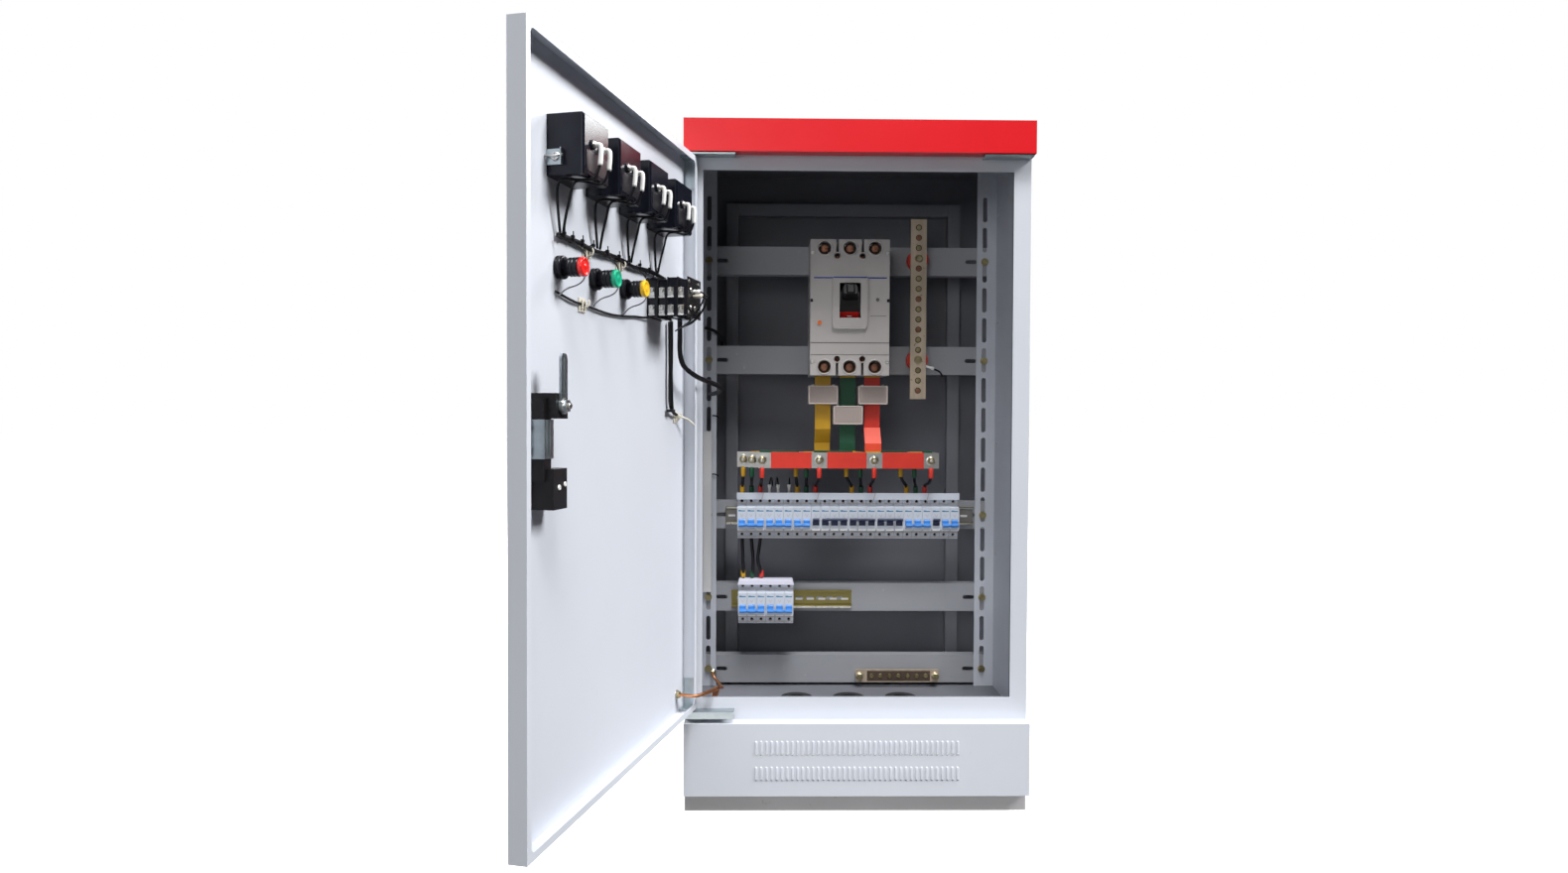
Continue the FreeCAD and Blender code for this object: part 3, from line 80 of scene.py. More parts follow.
# ---- mesh tools ----------------------------------------------------------------------------
class Form:
    """Gathers the solids of one piece. Sizes are in millimetres, in the cabinet's or the door's axes."""

    def __init__(self, place=row_place):
        self.place = place
        self.mesh = bmesh.new()
        self.coats = []

    def _index(self, coat):
        if coat not in self.coats:
            self.coats.append(coat)
        return self.coats.index(coat)

    def _take(self, part, coat, smooth=False):
        index = self._index(coat)
        for face in part.faces:
            face.material_index = index
            face.smooth = smooth
        for vert in part.verts:
            vert.co = self.place(*vert.co)
        bmesh.ops.recalc_face_normals(part, faces=part.faces)
        held = bpy.data.meshes.new("part")
        part.to_mesh(held)
        part.free()
        self.mesh.from_mesh(held)
        bpy.data.meshes.remove(held)

    def block(self, low, high, coat, edge=0.5, steps=2):
        """A box between two corners, with rounded edges."""
        part = bmesh.new()
        bmesh.ops.create_cube(part, size=1.0)
        for vert in part.verts:
            vert.co = Vector(a + (b - a) * (0.5 + c) for a, b, c in zip(low, high, vert.co))
        if edge > 0:
            edge = min(edge, 0.45 * min(b - a for a, b in zip(low, high)))
            bmesh.ops.bevel(part, geom=list(part.edges), offset=edge, segments=steps, profile=0.5,
                            affect="EDGES")
        self._take(part, coat)

    def turned(self, at, axis, profile, coat, sides=28, smooth=True):
        """A turned solid: profile lists (distance along the axis, radius). One that ends where it starts is a ring."""
        part = bmesh.new()
        ring_shape = profile[0] == profile[-1]
        axis = Vector(axis).normalized()
        turn = axis.to_track_quat("Z", "Y").to_matrix()
        rings = []
        for along, radius in profile[:-1] if ring_shape else profile:
            if radius <= 0:
                rings.append([part.verts.new(Vector(at) + axis * along)])
                continue
            ring = []
            for i in range(sides):
                a = 2 * math.pi * i / sides
                ring.append(part.verts.new(Vector(at) + turn @ Vector((radius * math.cos(a),
                                                                       radius * math.sin(a), along))))
            rings.append(ring)
        for a, b in zip(rings, rings[1:] + rings[:1] if ring_shape else rings[1:]):
            for i in range(sides):
                j = (i + 1) % sides
                corners = [a[i % len(a)], a[j % len(a)], b[j % len(b)], b[i % len(b)]]
                distinct = []
                for corner in corners:
                    if corner not in distinct:
                        distinct.append(corner)
                if len(distinct) > 2:
                    part.faces.new(distinct)
        for ring in () if ring_shape else (rings[0], rings[-1]):
            if len(ring) > 1:
                part.faces.new(ring)
        self._take(part, coat, smooth)

    def outline(self, corners, depth_axis, start, end, coat, edge=0.0):
        """A flat outline pushed along one axis: the corners give the two other axes in order."""
        part = bmesh.new()
        others = [i for i in range(3) if i != depth_axis]

        def at(corner, depth):
            point = [0.0, 0.0, 0.0]
            point[depth_axis] = depth
            point[others[0]], point[others[1]] = corner
            return point

        low = [part.verts.new(at(c, start)) for c in corners]
        high = [part.verts.new(at(c, end)) for c in corners]
        part.faces.new(low)
        part.faces.new(high)
        for i in range(len(corners)):
            j = (i + 1) % len(corners)
            part.faces.new((low[i], low[j], high[j], high[i]))
        if edge > 0:
            bmesh.ops.recalc_face_normals(part, faces=part.faces)
            bmesh.ops.bevel(part, geom=list(part.edges), offset=edge, segments=2, profile=0.5,
                            affect="EDGES", clamp_overlap=True)
        self._take(part, coat)

    def cross_screw(self, at, axis, radius, height, coat, slotted=False):
        """A screw head with a cross or a slot sunk into it. The axis points out of the work."""
        axis = Vector(axis)
        self.turned(at, axis, [(0, radius), (height * 0.55, radius), (height * 0.55, 0)], coat, 20)
        flat = axis.to_track_quat("Z", "Y").to_matrix()
        arm, reach = radius * 0.14, radius * 0.66
        for q in range(4 if not slotted else 2):
            arc = []
            spread = 90 if not slotted else 180
            for i in range(9):
                a = math.radians(i * spread / 8)
                arc.append((radius * math.cos(a), radius * math.sin(a)))
            if slotted:
                arc = [(x, max(y, arm)) for x, y in arc]
                loop = arc
            else:
                loop = arc + [(0, reach), (arm, reach), (arm, arm), (reach, arm), (reach, 0)]
            turn = Matrix.Rotation(math.radians(q * spread), 3, "Z")
            part = bmesh.new()
            rings = []
            for depth, grow in ((height * 0.5, 1.0), (height, 0.86)):
                ring = []
                for x, y in loop:
                    away = math.hypot(x, y) / radius
                    scale = 1 - (1 - grow) * away ** 3
                    point = flat @ (turn @ Vector((x * scale, y * scale, depth)))
                    ring.append(part.verts.new(Vector(at) + point))
                rings.append(ring)
            part.faces.new(rings[0])
            part.faces.new(rings[1])
            for i in range(len(loop)):
                j = (i + 1) % len(loop)
                part.faces.new((rings[0][i], rings[0][j], rings[1][j], rings[1][i]))
            self._take(part, coat)

    def tube(self, route, radius, coat, sides=12, steps=8):
        """A round wire along a smooth line through the route's inner points."""
        points = smooth_line([Vector(p) for p in route], steps)
        self.swept(points, round_section(radius, sides), coat)

    def swept(self, points, section, coat, smooth=True):
        """A section carried along a line of points, without twist."""
        part = bmesh.new()
        ahead = (points[1] - points[0]).normalized()
        side = ahead.orthogonal().normalized()
        rings = []
        for i, point in enumerate(points):
            a = points[max(i - 1, 0)]
            b = points[min(i + 1, len(points) - 1)]
            ahead = (b - a).normalized()
            side = (side - ahead * side.dot(ahead)).normalized()
            up = ahead.cross(side)
            rings.append([part.verts.new(point + side * x + up * y) for x, y in section])
        count = len(section)
        for a, b in zip(rings, rings[1:]):
            for i in range(count):
                j = (i + 1) % count
                part.faces.new((a[i], a[j], b[j], b[i]))
        part.faces.new(rings[0])
        part.faces.new(rings[-1])
        self._take(part, coat, smooth)

    def piece(self, name, body, slot):
        """Makes the object and lets it ride on a body. The slot argument is not used."""
        mesh = bpy.data.meshes.new(name)
        self.mesh.to_mesh(mesh)
        self.mesh.free()
        for coat in self.coats:
            mesh.materials.append(coat_named(coat))
        obj = bpy.data.objects.new(name, mesh)
        bpy.context.scene.collection.objects.link(obj)
        if body:
            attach(obj, body)
        return obj


def round_section(radius, sides):
    return [(radius * math.cos(2 * math.pi * i / sides), radius * math.sin(2 * math.pi * i / sides))
            for i in range(sides)]


def smooth_line(points, steps):
    """Points along a quadratic B-spline that starts and ends on the first and last point."""
    if len(points) < 3:
        return points
    line = [points[0]]
    for i in range(1, len(points) - 1):
        a = points[0] if i == 1 else (points[i - 1] + points[i]) / 2
        c = points[-1] if i == len(points) - 2 else (points[i] + points[i + 1]) / 2
        for k in range(1, steps + 1):
            t = k / steps
            line.append(a * (1 - t) ** 2 + points[i] * 2 * t * (1 - t) + c * t * t)
    return line


# ---- finishes ------------------------------------------------------------------------------
def new_coat(name):
    material = bpy.data.materials.new(name)
    material.use_nodes = True
    nodes = material.node_tree.nodes
    return material, nodes, material.node_tree.links, nodes["Principled BSDF"]


def add(nodes, kind, **values):
    node = nodes.new(kind)
    for key, value in values.items():
        setattr(node, key, value)
    return node


def spread(nodes, links, scale, detail=4.0, stretch=(1, 1, 1), rough=0.55):
    """Noise in the piece's own coordinates."""
    coords = add(nodes, "ShaderNodeTexCoord")
    mapping = add(nodes, "ShaderNodeMapping")
    mapping.inputs["Scale"].default_value = stretch
    noise = add(nodes, "ShaderNodeTexNoise")
    noise.inputs["Scale"].default_value = scale
    noise.inputs["Detail"].default_value = detail
    noise.inputs["Roughness"].default_value = rough
    links.new(coords.outputs["Object"], mapping.inputs["Vector"])
    links.new(mapping.outputs["Vector"], noise.inputs["Vector"])
    return noise


def ramp(nodes, links, source, stops, mode="LINEAR"):
    node = add(nodes, "ShaderNodeValToRGB")
    node.color_ramp.interpolation = mode
    elements = node.color_ramp.elements
    while len(elements) < len(stops):
        elements.new(0.5)
    for element, (position, colour) in zip(elements, stops):
        element.position = position
        element.color = (*colour[:3], 1.0)
    links.new(source, node.inputs["Fac"])
    return node


def shade(colour, factor):
    return tuple(min(1.0, c * factor) for c in colour[:3])


def outside_of_painted_shade(nodes, links):
    """1 on the faces that look out of the cabinet, 0 on its interior faces, whose darker colour is painted shade."""
    coords = add(nodes, "ShaderNodeTexCoord")
    parts = add(nodes, "ShaderNodeSeparateXYZ")
    links.new(coords.outputs["Object"], parts.inputs["Vector"])
    width = add(nodes, "ShaderNodeMath", operation="ABSOLUTE")
    links.new(parts.outputs["X"], width.inputs[0])
    result = None
    for source, limit, test in ((width.outputs[0], 0.2992, "GREATER_THAN"),
                                (parts.outputs["Y"], 0.1842, "GREATER_THAN"),
                                (parts.outputs["Y"], -0.1838, "LESS_THAN"),
                                (parts.outputs["Z"], 1.1992, "GREATER_THAN")):
        check = add(nodes, "ShaderNodeMath", operation=test)
        check.inputs[1].default_value = limit
        links.new(source, check.inputs[0])
        if result is None:
            result = check.outputs[0]
            continue
        either = add(nodes, "ShaderNodeMath", operation="MAXIMUM")
        links.new(result, either.inputs[0])
        links.new(check.outputs[0], either.inputs[1])
        result = either.outputs[0]
    return result


def surface(name, colour, rough=(0.4, 0.5), metal=0.0, blotch=(6.0, 0.06), grain=(900.0, 0.1),
            streak=None, spots=None, specular=0.5, coat=0.0, height=0.0002, inside=None):
    """A finish with broad changes of tone, a fine grain in its relief and roughness, spots of wear and, where an inside
    colour is given, painted shade: that darker colour on the cabinet's interior faces.
    """
    material, nodes, links, shader = new_coat(name)
    shader.inputs["Metallic"].default_value = metal
    shader.inputs["Specular IOR Level"].default_value = specular
    shader.inputs["Coat Weight"].default_value = coat
    shader.inputs["Coat Roughness"].default_value = 0.2
    broad = spread(nodes, links, blotch[0], 5.0, streak or (1, 1, 1))
    tint = ramp(nodes, links, broad.outputs["Fac"], [(0.3, shade(colour, 1 - blotch[1])),
                                                     (0.7, shade(colour, 1 + blotch[1]))])
    base = tint.outputs["Color"]
    fine = spread(nodes, links, grain[0], 3.0, streak or (1, 1, 1))
    if spots:
        speck = spread(nodes, links, spots[0], 2.0)
        mask = ramp(nodes, links, speck.outputs["Fac"], [(spots[1], (0, 0, 0)), (spots[1] + 0.06, (1, 1, 1))])
        mix = add(nodes, "ShaderNodeMix", data_type="RGBA")
        links.new(mask.outputs["Color"], mix.inputs["Factor"])
        links.new(base, mix.inputs["A"])
        mix.inputs["B"].default_value = (*spots[2], 1.0)
        base = mix.outputs["Result"]
    # Painted shade: the cabinet's interior faces take the darker inside colour in place of the shade that falls there.
    if inside:
        mix = add(nodes, "ShaderNodeMix", data_type="RGBA")
        links.new(outside_of_painted_shade(nodes, links), mix.inputs["Factor"])
        mix.inputs["A"].default_value = (*inside, 1.0)
        links.new(base, mix.inputs["B"])
        base = mix.outputs["Result"]
    links.new(base, shader.inputs["Base Color"])
    reach = add(nodes, "ShaderNodeMapRange")
    reach.inputs["To Min"].default_value = rough[0]
    reach.inputs["To Max"].default_value = rough[1]
    links.new(broad.outputs["Fac"], reach.inputs["Value"])
    links.new(reach.outputs["Result"], shader.inputs["Roughness"])
    bump = add(nodes, "ShaderNodeBump")
    bump.inputs["Strength"].default_value = grain[1]
    bump.inputs["Distance"].default_value = height
    links.new(fine.outputs["Fac"], bump.inputs["Height"])
    links.new(bump.outputs["Normal"], shader.inputs["Normal"])
    return material


PAINT = (0.58, 0.605, 0.66)
WORN = (0.42, 0.43, 0.45)

FINISHES = {
    "cabinet_paint": dict(colour=PAINT, rough=(0.46, 0.58), blotch=(3.5, 0.02), grain=(700.0, 0.12),
                          spots=(60.0, 0.74, (0.55, 0.57, 0.62)), specular=0.35),
    # Painted shade: a darker copy of the cabinet paint for the cross beams, standing in for the shade in the cabinet.
    "beam_paint_painted_shade": dict(colour=(0.33, 0.34, 0.365), rough=(0.36, 0.48), blotch=(5.0, 0.03), grain=(700.0, 0.14),
                       spots=(70.0, 0.72, WORN)),
    # Cabinet paint with painted shade: its interior faces are darkened to stand in for the shade in the cabinet.
    "shell_paint_with_painted_shade": dict(colour=PAINT, rough=(0.46, 0.58), blotch=(3.5, 0.02), grain=(700.0, 0.12),
                        specular=0.35, inside=(0.18, 0.185, 0.21)),
    # Painted shade: a darker copy of the cabinet paint for the back stiffeners.
    "stay_paint_painted_shade": dict(colour=(0.27, 0.28, 0.31), rough=(0.42, 0.54), blotch=(5.0, 0.03), grain=(700.0, 0.12),
                       specular=0.35),
    "banner_paint": dict(colour=(0.70, 0.010, 0.017), rough=(0.30, 0.38), blotch=(4.0, 0.03),
                         grain=(800.0, 0.08), coat=0.15),
    "plinth_paint": dict(colour=(0.60, 0.59, 0.60), rough=(0.42, 0.55), blotch=(5.0, 0.05),
                         grain=(700.0, 0.16), spots=(45.0, 0.72, (0.50, 0.49, 0.49))),
    "zinc": dict(colour=(0.52, 0.58, 0.60), rough=(0.24, 0.42), metal=1.0, blotch=(45.0, 0.14),
                 grain=(420.0, 0.18)),
    "yellow_zinc": dict(colour=(0.46, 0.40, 0.22), rough=(0.28, 0.45), metal=1.0, blotch=(90.0, 0.25),
                        grain=(500.0, 0.2)),
    "rubber_black": dict(colour=(0.022, 0.022, 0.024), rough=(0.55, 0.75), blotch=(20.0, 0.2),
                         grain=(1400.0, 0.3)),
    "breaker_shell": dict(colour=(0.46, 0.435, 0.42), rough=(0.42, 0.52), blotch=(9.0, 0.03),
                          grain=(1500.0, 0.18)),
    "lever_black": dict(colour=(0.011, 0.010, 0.011), rough=(0.3, 0.42), blotch=(30.0, 0.2),
                        grain=(1300.0, 0.15), specular=0.3),
    "button_orange": dict(colour=(0.80, 0.16, 0.02), rough=(0.35, 0.45), blotch=(30.0, 0.06),
                          grain=(1200.0, 0.1)),
    "tinned_copper": dict(colour=(0.72, 0.71, 0.68), rough=(0.25, 0.42), metal=1.0, blotch=(60.0, 0.1),
                          grain=(300.0, 0.16), streak=(0.15, 1, 1)),
    "transformer_shell": dict(colour=(0.40, 0.33, 0.30), rough=(0.4, 0.55), blotch=(14.0, 0.05),
                              grain=(1100.0, 0.2), spots=(160.0, 0.7, (0.50, 0.39, 0.33))),
    "pole_white": dict(colour=(0.56, 0.60, 0.67), rough=(0.36, 0.46), blotch=(12.0, 0.02),
                       grain=(1600.0, 0.14)),
    "toggle_blue": dict(colour=(0.045, 0.22, 0.62), rough=(0.28, 0.38), blotch=(30.0, 0.05),
                        grain=(1300.0, 0.1)),
    # Painted shade: the same blue as the other toggles, darkened for the toggles whose face lies in shade.
    "toggle_painted_shade": dict(colour=(0.015, 0.025, 0.075), rough=(0.28, 0.38), blotch=(30.0, 0.1),
                        grain=(1300.0, 0.1)),
    "din_steel": dict(colour=(0.27, 0.23, 0.085), rough=(0.25, 0.42), metal=1.0, blotch=(40.0, 0.18),
                      grain=(400.0, 0.15), streak=(0.1, 1, 1)),
    "wire_black": dict(colour=(0.008, 0.008, 0.010), rough=(0.34, 0.46), blotch=(40.0, 0.2),
                       grain=(1500.0, 0.1), specular=0.3),
    "bar_brass": dict(colour=(0.56, 0.46, 0.35), rough=(0.34, 0.5), metal=0.45, blotch=(50.0, 0.18),
                      grain=(350.0, 0.2), streak=(1, 1, 0.12), spots=(120.0, 0.68, (0.30, 0.20, 0.10))),
    "insulator_red": dict(colour=(0.55, 0.035, 0.02), rough=(0.3, 0.42), blotch=(25.0, 0.1),
                          grain=(900.0, 0.12)),
    "braid_copper": dict(colour=(0.66, 0.30, 0.14), rough=(0.3, 0.5), metal=1.0, blotch=(120.0, 0.25),
                         grain=(900.0, 0.3)),
    "instrument_black": dict(colour=(0.008, 0.009, 0.015), rough=(0.16, 0.24), blotch=(25.0, 0.15),
                             grain=(1400.0, 0.05), specular=0.3),
    "lamp_shell": dict(colour=(0.009, 0.009, 0.013), rough=(0.24, 0.34), blotch=(30.0, 0.2),
                       grain=(1300.0, 0.1), specular=0.3),
    # White of the cover strip, also used as painted light in the rail slots.
    "strip_white": dict(colour=(0.66, 0.655, 0.65), rough=(0.45, 0.55), blotch=(12.0, 0.04),
                        grain=(900.0, 0.12)),
    "phase_yellow": dict(colour=(0.60, 0.33, 0.012), rough=(0.38, 0.5), blotch=(25.0, 0.07),
                         grain=(500.0, 0.2)),
    "phase_green": dict(colour=(0.003, 0.075, 0.030), rough=(0.38, 0.5), blotch=(25.0, 0.12),
                        grain=(500.0, 0.2)),
    "phase_red": dict(colour=(0.66, 0.035, 0.02), rough=(0.38, 0.5), blotch=(25.0, 0.08),
                      grain=(500.0, 0.2)),
    "ferrule_white": dict(colour=(0.80, 0.80, 0.78), rough=(0.3, 0.42), blotch=(30.0, 0.05),
                          grain=(1200.0, 0.1)),
    "tie_white": dict(colour=(0.72, 0.68, 0.58), rough=(0.35, 0.5), blotch=(30.0, 0.06),
                      grain=(1200.0, 0.15)),
    "mark_blue": dict(colour=(0.03, 0.06, 0.30), rough=(0.35, 0.45), blotch=(30.0, 0.08),
                      grain=(1200.0, 0.08)),
    "mark_red": dict(colour=(0.80, 0.02, 0.015), rough=(0.32, 0.42), blotch=(30.0, 0.06),
                     grain=(1200.0, 0.08)),
    # Dark grey for seams, also used as painted shadow in the rail ends.
    "seam_and_shadow_grey": dict(colour=(0.16, 0.15, 0.14), rough=(0.5, 0.6), blotch=(30.0, 0.1),
                      grain=(1200.0, 0.1)),
    "copper_dark": dict(colour=(0.36, 0.17, 0.11), rough=(0.35, 0.5), metal=0.9, blotch=(80.0, 0.2),
                        grain=(600.0, 0.2)),
    "screw_steel": dict(colour=(0.74, 0.73, 0.70), rough=(0.22, 0.36), metal=1.0, blotch=(120.0, 0.15),
                        grain=(700.0, 0.12)),
    "transformer_rim": dict(colour=(0.60, 0.52, 0.48), rough=(0.38, 0.5), blotch=(14.0, 0.03),
                            grain=(1100.0, 0.15)),
    # Painted light: a brighter copy of the third phase red for the forward bend of its dropper.
    "phase_red_painted_light": dict(colour=(0.86, 0.075, 0.03), rough=(0.36, 0.46), blotch=(25.0, 0.06),
                             grain=(500.0, 0.15)),
    # Painted shade: near-black brown put in wells, holes and round screws where shade falls.
    "painted_shade_brown": dict(colour=(0.07, 0.045, 0.03), rough=(0.5, 0.65), blotch=(60.0, 0.2), grain=(900.0, 0.2)),
    "mark_teal": dict(colour=(0.04, 0.19, 0.34), rough=(0.4, 0.5), blotch=(60.0, 0.1), grain=(1200.0, 0.08)),
    "mark_faint": dict(colour=(0.40, 0.38, 0.37), rough=(0.4, 0.5), blotch=(60.0, 0.05), grain=(1200.0, 0.08)),
    # Painted light: a brighter copy of the pole white for the second row's cap, offsetting the shade over it.
    "pole_cap_painted_light": dict(colour=(0.74, 0.74, 0.86), rough=(0.3, 0.4), blotch=(14.0, 0.02), grain=(1400.0, 0.08)),
    "copper_wire": dict(colour=(0.55, 0.26, 0.14), rough=(0.3, 0.45), metal=0.8, blotch=(80.0, 0.15),
                        grain=(700.0, 0.2)),
    "pole_beige": dict(colour=(0.50, 0.45, 0.41), rough=(0.4, 0.5), blotch=(20.0, 0.04), grain=(1400.0, 0.1)),
    "wire_grey": dict(colour=(0.20, 0.20, 0.22), rough=(0.35, 0.5), blotch=(40.0, 0.1), grain=(1400.0, 0.1)),
    "band_red": dict(colour=(0.42, 0.10, 0.08), rough=(0.4, 0.55), blotch=(60.0, 0.12), grain=(900.0, 0.15)),
    "dial_white": dict(colour=(0.78, 0.78, 0.75), rough=(0.5, 0.6), blotch=(20.0, 0.03), grain=(1400.0, 0.06)),
    "lamp_red": dict(colour=(0.85, 0.02, 0.015), rough=(0.2, 0.3), blotch=(30.0, 0.05),
                     grain=(900.0, 0.06), coat=0.4),
    "lamp_green": dict(colour=(0.01, 0.40, 0.22), rough=(0.2, 0.3), blotch=(30.0, 0.05),
                       grain=(900.0, 0.06), coat=0.4),
    "lamp_yellow": dict(colour=(0.90, 0.52, 0.01), rough=(0.2, 0.3), blotch=(30.0, 0.05),
                        grain=(900.0, 0.06), coat=0.4),
}

# ---- settings ------------------------------------------------------------------------------
def colour_setting(label, description, value):
    return bpy.props.FloatVectorProperty(name=label, description=description, default=value, size=3,
                                         min=0.0, max=1.0, subtype="COLOR")


def length_setting(label, description, value):
    """A length whose default is given in millimetres and kept in metres."""
    return bpy.props.FloatProperty(name=label, description=description, default=value * MM, min=0.0,
                                   soft_max=0.1, precision=4, subtype="DISTANCE", unit="LENGTH")


def power_setting(label, description, value):
    return bpy.props.FloatProperty(name=label, description=description, default=value, min=0.0,
                                   soft_max=1000.0, subtype="POWER", unit="POWER")


class SwitchboardFinish(bpy.types.PropertyGroup):
    paint: colour_setting("Cabinet paint", "Powder coat of the cabinet, door and rails", PAINT)
    banner: colour_setting("Banner paint", "Paint of the banner over the door", (0.70, 0.010, 0.017))
    plinth: colour_setting("Plinth paint", "Paint of the low base", (0.60, 0.59, 0.60))
    # Painted shade: the beam colour is a darker copy of the cabinet paint.
    beams: colour_setting("Beam paint", "Paint of the cross beams inside",
                          (0.33, 0.34, 0.365))
    breaker: colour_setting("Breaker shell", "Moulded shell of the main breaker", (0.46, 0.435, 0.42))
    poles: colour_setting("Small breaker shell", "Moulded shell of the small breakers", (0.56, 0.60, 0.67))
    phase_one: colour_setting("First phase", "Sleeves of the first phase", (0.60, 0.33, 0.012))
    phase_two: colour_setting("Second phase", "Sleeves of the second phase", (0.003, 0.075, 0.030))
    phase_three: colour_setting("Third phase", "Sleeves of the third phase", (0.66, 0.035, 0.02))


class SwitchboardFittings(bpy.types.PropertyGroup):
    louvre_rise: length_setting("Louvre rise", "How far a vent hood stands out of the plinth", 1.7)
    sleeve_wall: length_setting("Sleeve wall", "Thickness of the sleeves on the busbars", 0.7)
    dropper_wall: length_setting("Dropper sleeve wall", "Thickness of the sleeves on the dropping bars", 0.25)
    rim_rise: length_setting("Well rim", "How far the rims of the breaker's wells stand out", 1.0)
    lens_height: length_setting("Lens height", "Height of a signal lamp's dome", 6.6)
    knob_ridges: bpy.props.IntProperty(name="Knob ridges", description="Grip ridges round the switch knob",
                                       default=20, min=6, max=60)


class SwitchboardWiring(bpy.types.PropertyGroup):
    feed: length_setting("Feed lead radius", "Leads from the busbars to the first row", 3.1)
    link: length_setting("Link lead radius", "Leads from the first row to the second", 3.4)
    strand: length_setting("Strand radius", "One wire of the door's bundle", 1.35)
    meter_lead: length_setting("Meter lead radius", "Leads behind the panel meters", 1.7)
    crossing: length_setting("Crossing wire radius", "One wire of the loom between door and cabinet", 1.9)
    braid: length_setting("Braid wire radius", "One wire of the earth strap", 0.8)
    strands: bpy.props.IntProperty(name="Bundle wires", description="Wires in the door's bundle",
                                   default=7, min=3, max=12)


class SwitchboardStudio(bpy.types.PropertyGroup):
    key: power_setting("Front key", "Large light above the front", 156.0)
    steep: power_setting("Steep key", "Light high over the front", 327.0)
    side: power_setting("Right key", "Light above the right side", 342.0)
    fill: power_setting("Front fill", "Low fill from the front left", 29.0)
    bounce: power_setting("Floor bounce", "Light thrown back by the floor", 2.4)
    back: power_setting("Back lights", "Pair of lights behind the cabinet", 190.0)
    sky: bpy.props.FloatProperty(name="Room light", description="Strength of the even light from all round",
                                 default=0.02, min=0.0, max=2.0, subtype="FACTOR")
    lens: bpy.props.FloatProperty(name="Camera lens", description="Focal length of the view",
                                  default=21.66, min=10.0, max=200.0, unit="CAMERA")


GROUPS = {"finish": SwitchboardFinish, "fittings": SwitchboardFittings, "wiring": SwitchboardWiring,
          "studio": SwitchboardStudio}


def chosen(group):
    """The scene's settings of one group."""
    return getattr(bpy.context.scene, "switchboard_" + group)


# ---- choosing finishes ---------------------------------------------------------------------
OWN_COLOURS = {"cabinet_paint": "paint", "shell_paint_with_painted_shade": "paint", "banner_paint": "banner", "plinth_paint": "plinth",
               "beam_paint_painted_shade": "beams", "breaker_shell": "breaker", "pole_white": "poles",
               "phase_yellow": "phase_one", "phase_green": "phase_two", "phase_red": "phase_three"}
MADE = {}


def coat_named(name):
    """The finish of that name, made the first time it is asked for."""
    if name not in MADE:
        if name == "clear_pane":
            MADE[name] = clear_pane()
        else:
            values = dict(FINISHES[name])
            if name in OWN_COLOURS:
                values["colour"] = tuple(getattr(chosen("finish"), OWN_COLOURS[name]))
            MADE[name] = surface("finish_" + name, **values)
    return MADE[name]


def clear_pane():
    """Clear pane of a meter, with faint smears in its gloss."""
    material, nodes, links, shader = new_coat("finish_clear_pane")
    shader.inputs["Base Color"].default_value = (0.97, 0.98, 0.98, 1.0)
    shader.inputs["Transmission Weight"].default_value = 1.0
    shader.inputs["IOR"].default_value = 1.46
    smear = spread(nodes, links, 40.0)
    reach = add(nodes, "ShaderNodeMapRange")
    reach.inputs["To Min"].default_value = 0.02
    reach.inputs["To Max"].default_value = 0.10
    links.new(smear.outputs["Fac"], reach.inputs["Value"])
    links.new(reach.outputs["Result"], shader.inputs["Roughness"])
    return material


NODE_FINISH = {
    "cabinet_paint": ("plinth_panel", "door_panel", "side_panel_left", "side_panel_right", "mounting_rail_left",
                      "mounting_rail_right"),
    # These panels carry painted shade on their interior faces.
    "shell_paint_with_painted_shade": ("top_panel", "front_frame", "floor_plate",
                    "gland_plate", "back_panel"),
    # Beams and stiffeners take darker copies of the cabinet paint as painted shade.
    "stay_paint_painted_shade": ("back_stiffeners",),
    "beam_paint_painted_shade": ("cross_beams",),
    "banner_paint": ("banner_panel",),
    "plinth_paint": ("plinth_base",),
    "zinc": ("hinge_plates", "door_hinge_brackets", "lock_clamp", "lock_cam"),
    "yellow_zinc": ("rail_bolts", "bar_bolts"),
    "rubber_black": ("cable_grommets",),
    "breaker_shell": ("mccb_base", "mccb_cover"),
    "lever_black": ("mccb_lever", "lock_housing", "lock_handle"),
    "button_orange": ("mccb_test_button",),
    "tinned_copper": ("mccb_terminals", "busbars"),
    "transformer_shell": ("current_transformers",),
    "pole_white": ("mcb_row_1", "mcb_row_2", "terminal_shield"),
    "toggle_blue": tuple("mcb_toggle_%02d" % n for n in (1, 2, 3, 8, 10, 11, 12)),
    # Toggles 4 to 7 and 9 take the darkened toggle blue as painted shade.
    "toggle_painted_shade": tuple("mcb_toggle_%02d" % n for n in (4, 5, 6, 7, 9)),
    "din_steel": ("din_rails",),
    "wire_black": ("feeder_wires", "door_loom_crossing", "door_loom"),
    "bar_brass": ("neutral_bar", "earth_bar"),
    "insulator_red": ("bar_insulators",),
    "braid_copper": ("earth_braid",),
    "instrument_black": ("panel_meters", "selector_switch_body", "selector_switch_knob"),
    "lamp_shell": ("signal_lamps",),
    "strip_white": ("rail_cover_strip",),
    "phase_yellow": ("phase_droppers",),
}


class SWITCHBOARD_OT_finishes(bpy.types.Operator):
    """Finishes of the frame's own parts."""
    bl_idname = "switchboard.finishes"
    bl_label = "Paint and mouldings"

    def execute(self, context):
        for coat, names in NODE_FINISH.items():
            for name in names:
                obj = NODES[name]
                if not obj.material_slots:
                    obj.data.materials.append(None)
                for place in obj.material_slots:
                    place.material = coat_named(coat)
        return {"FINISHED"}


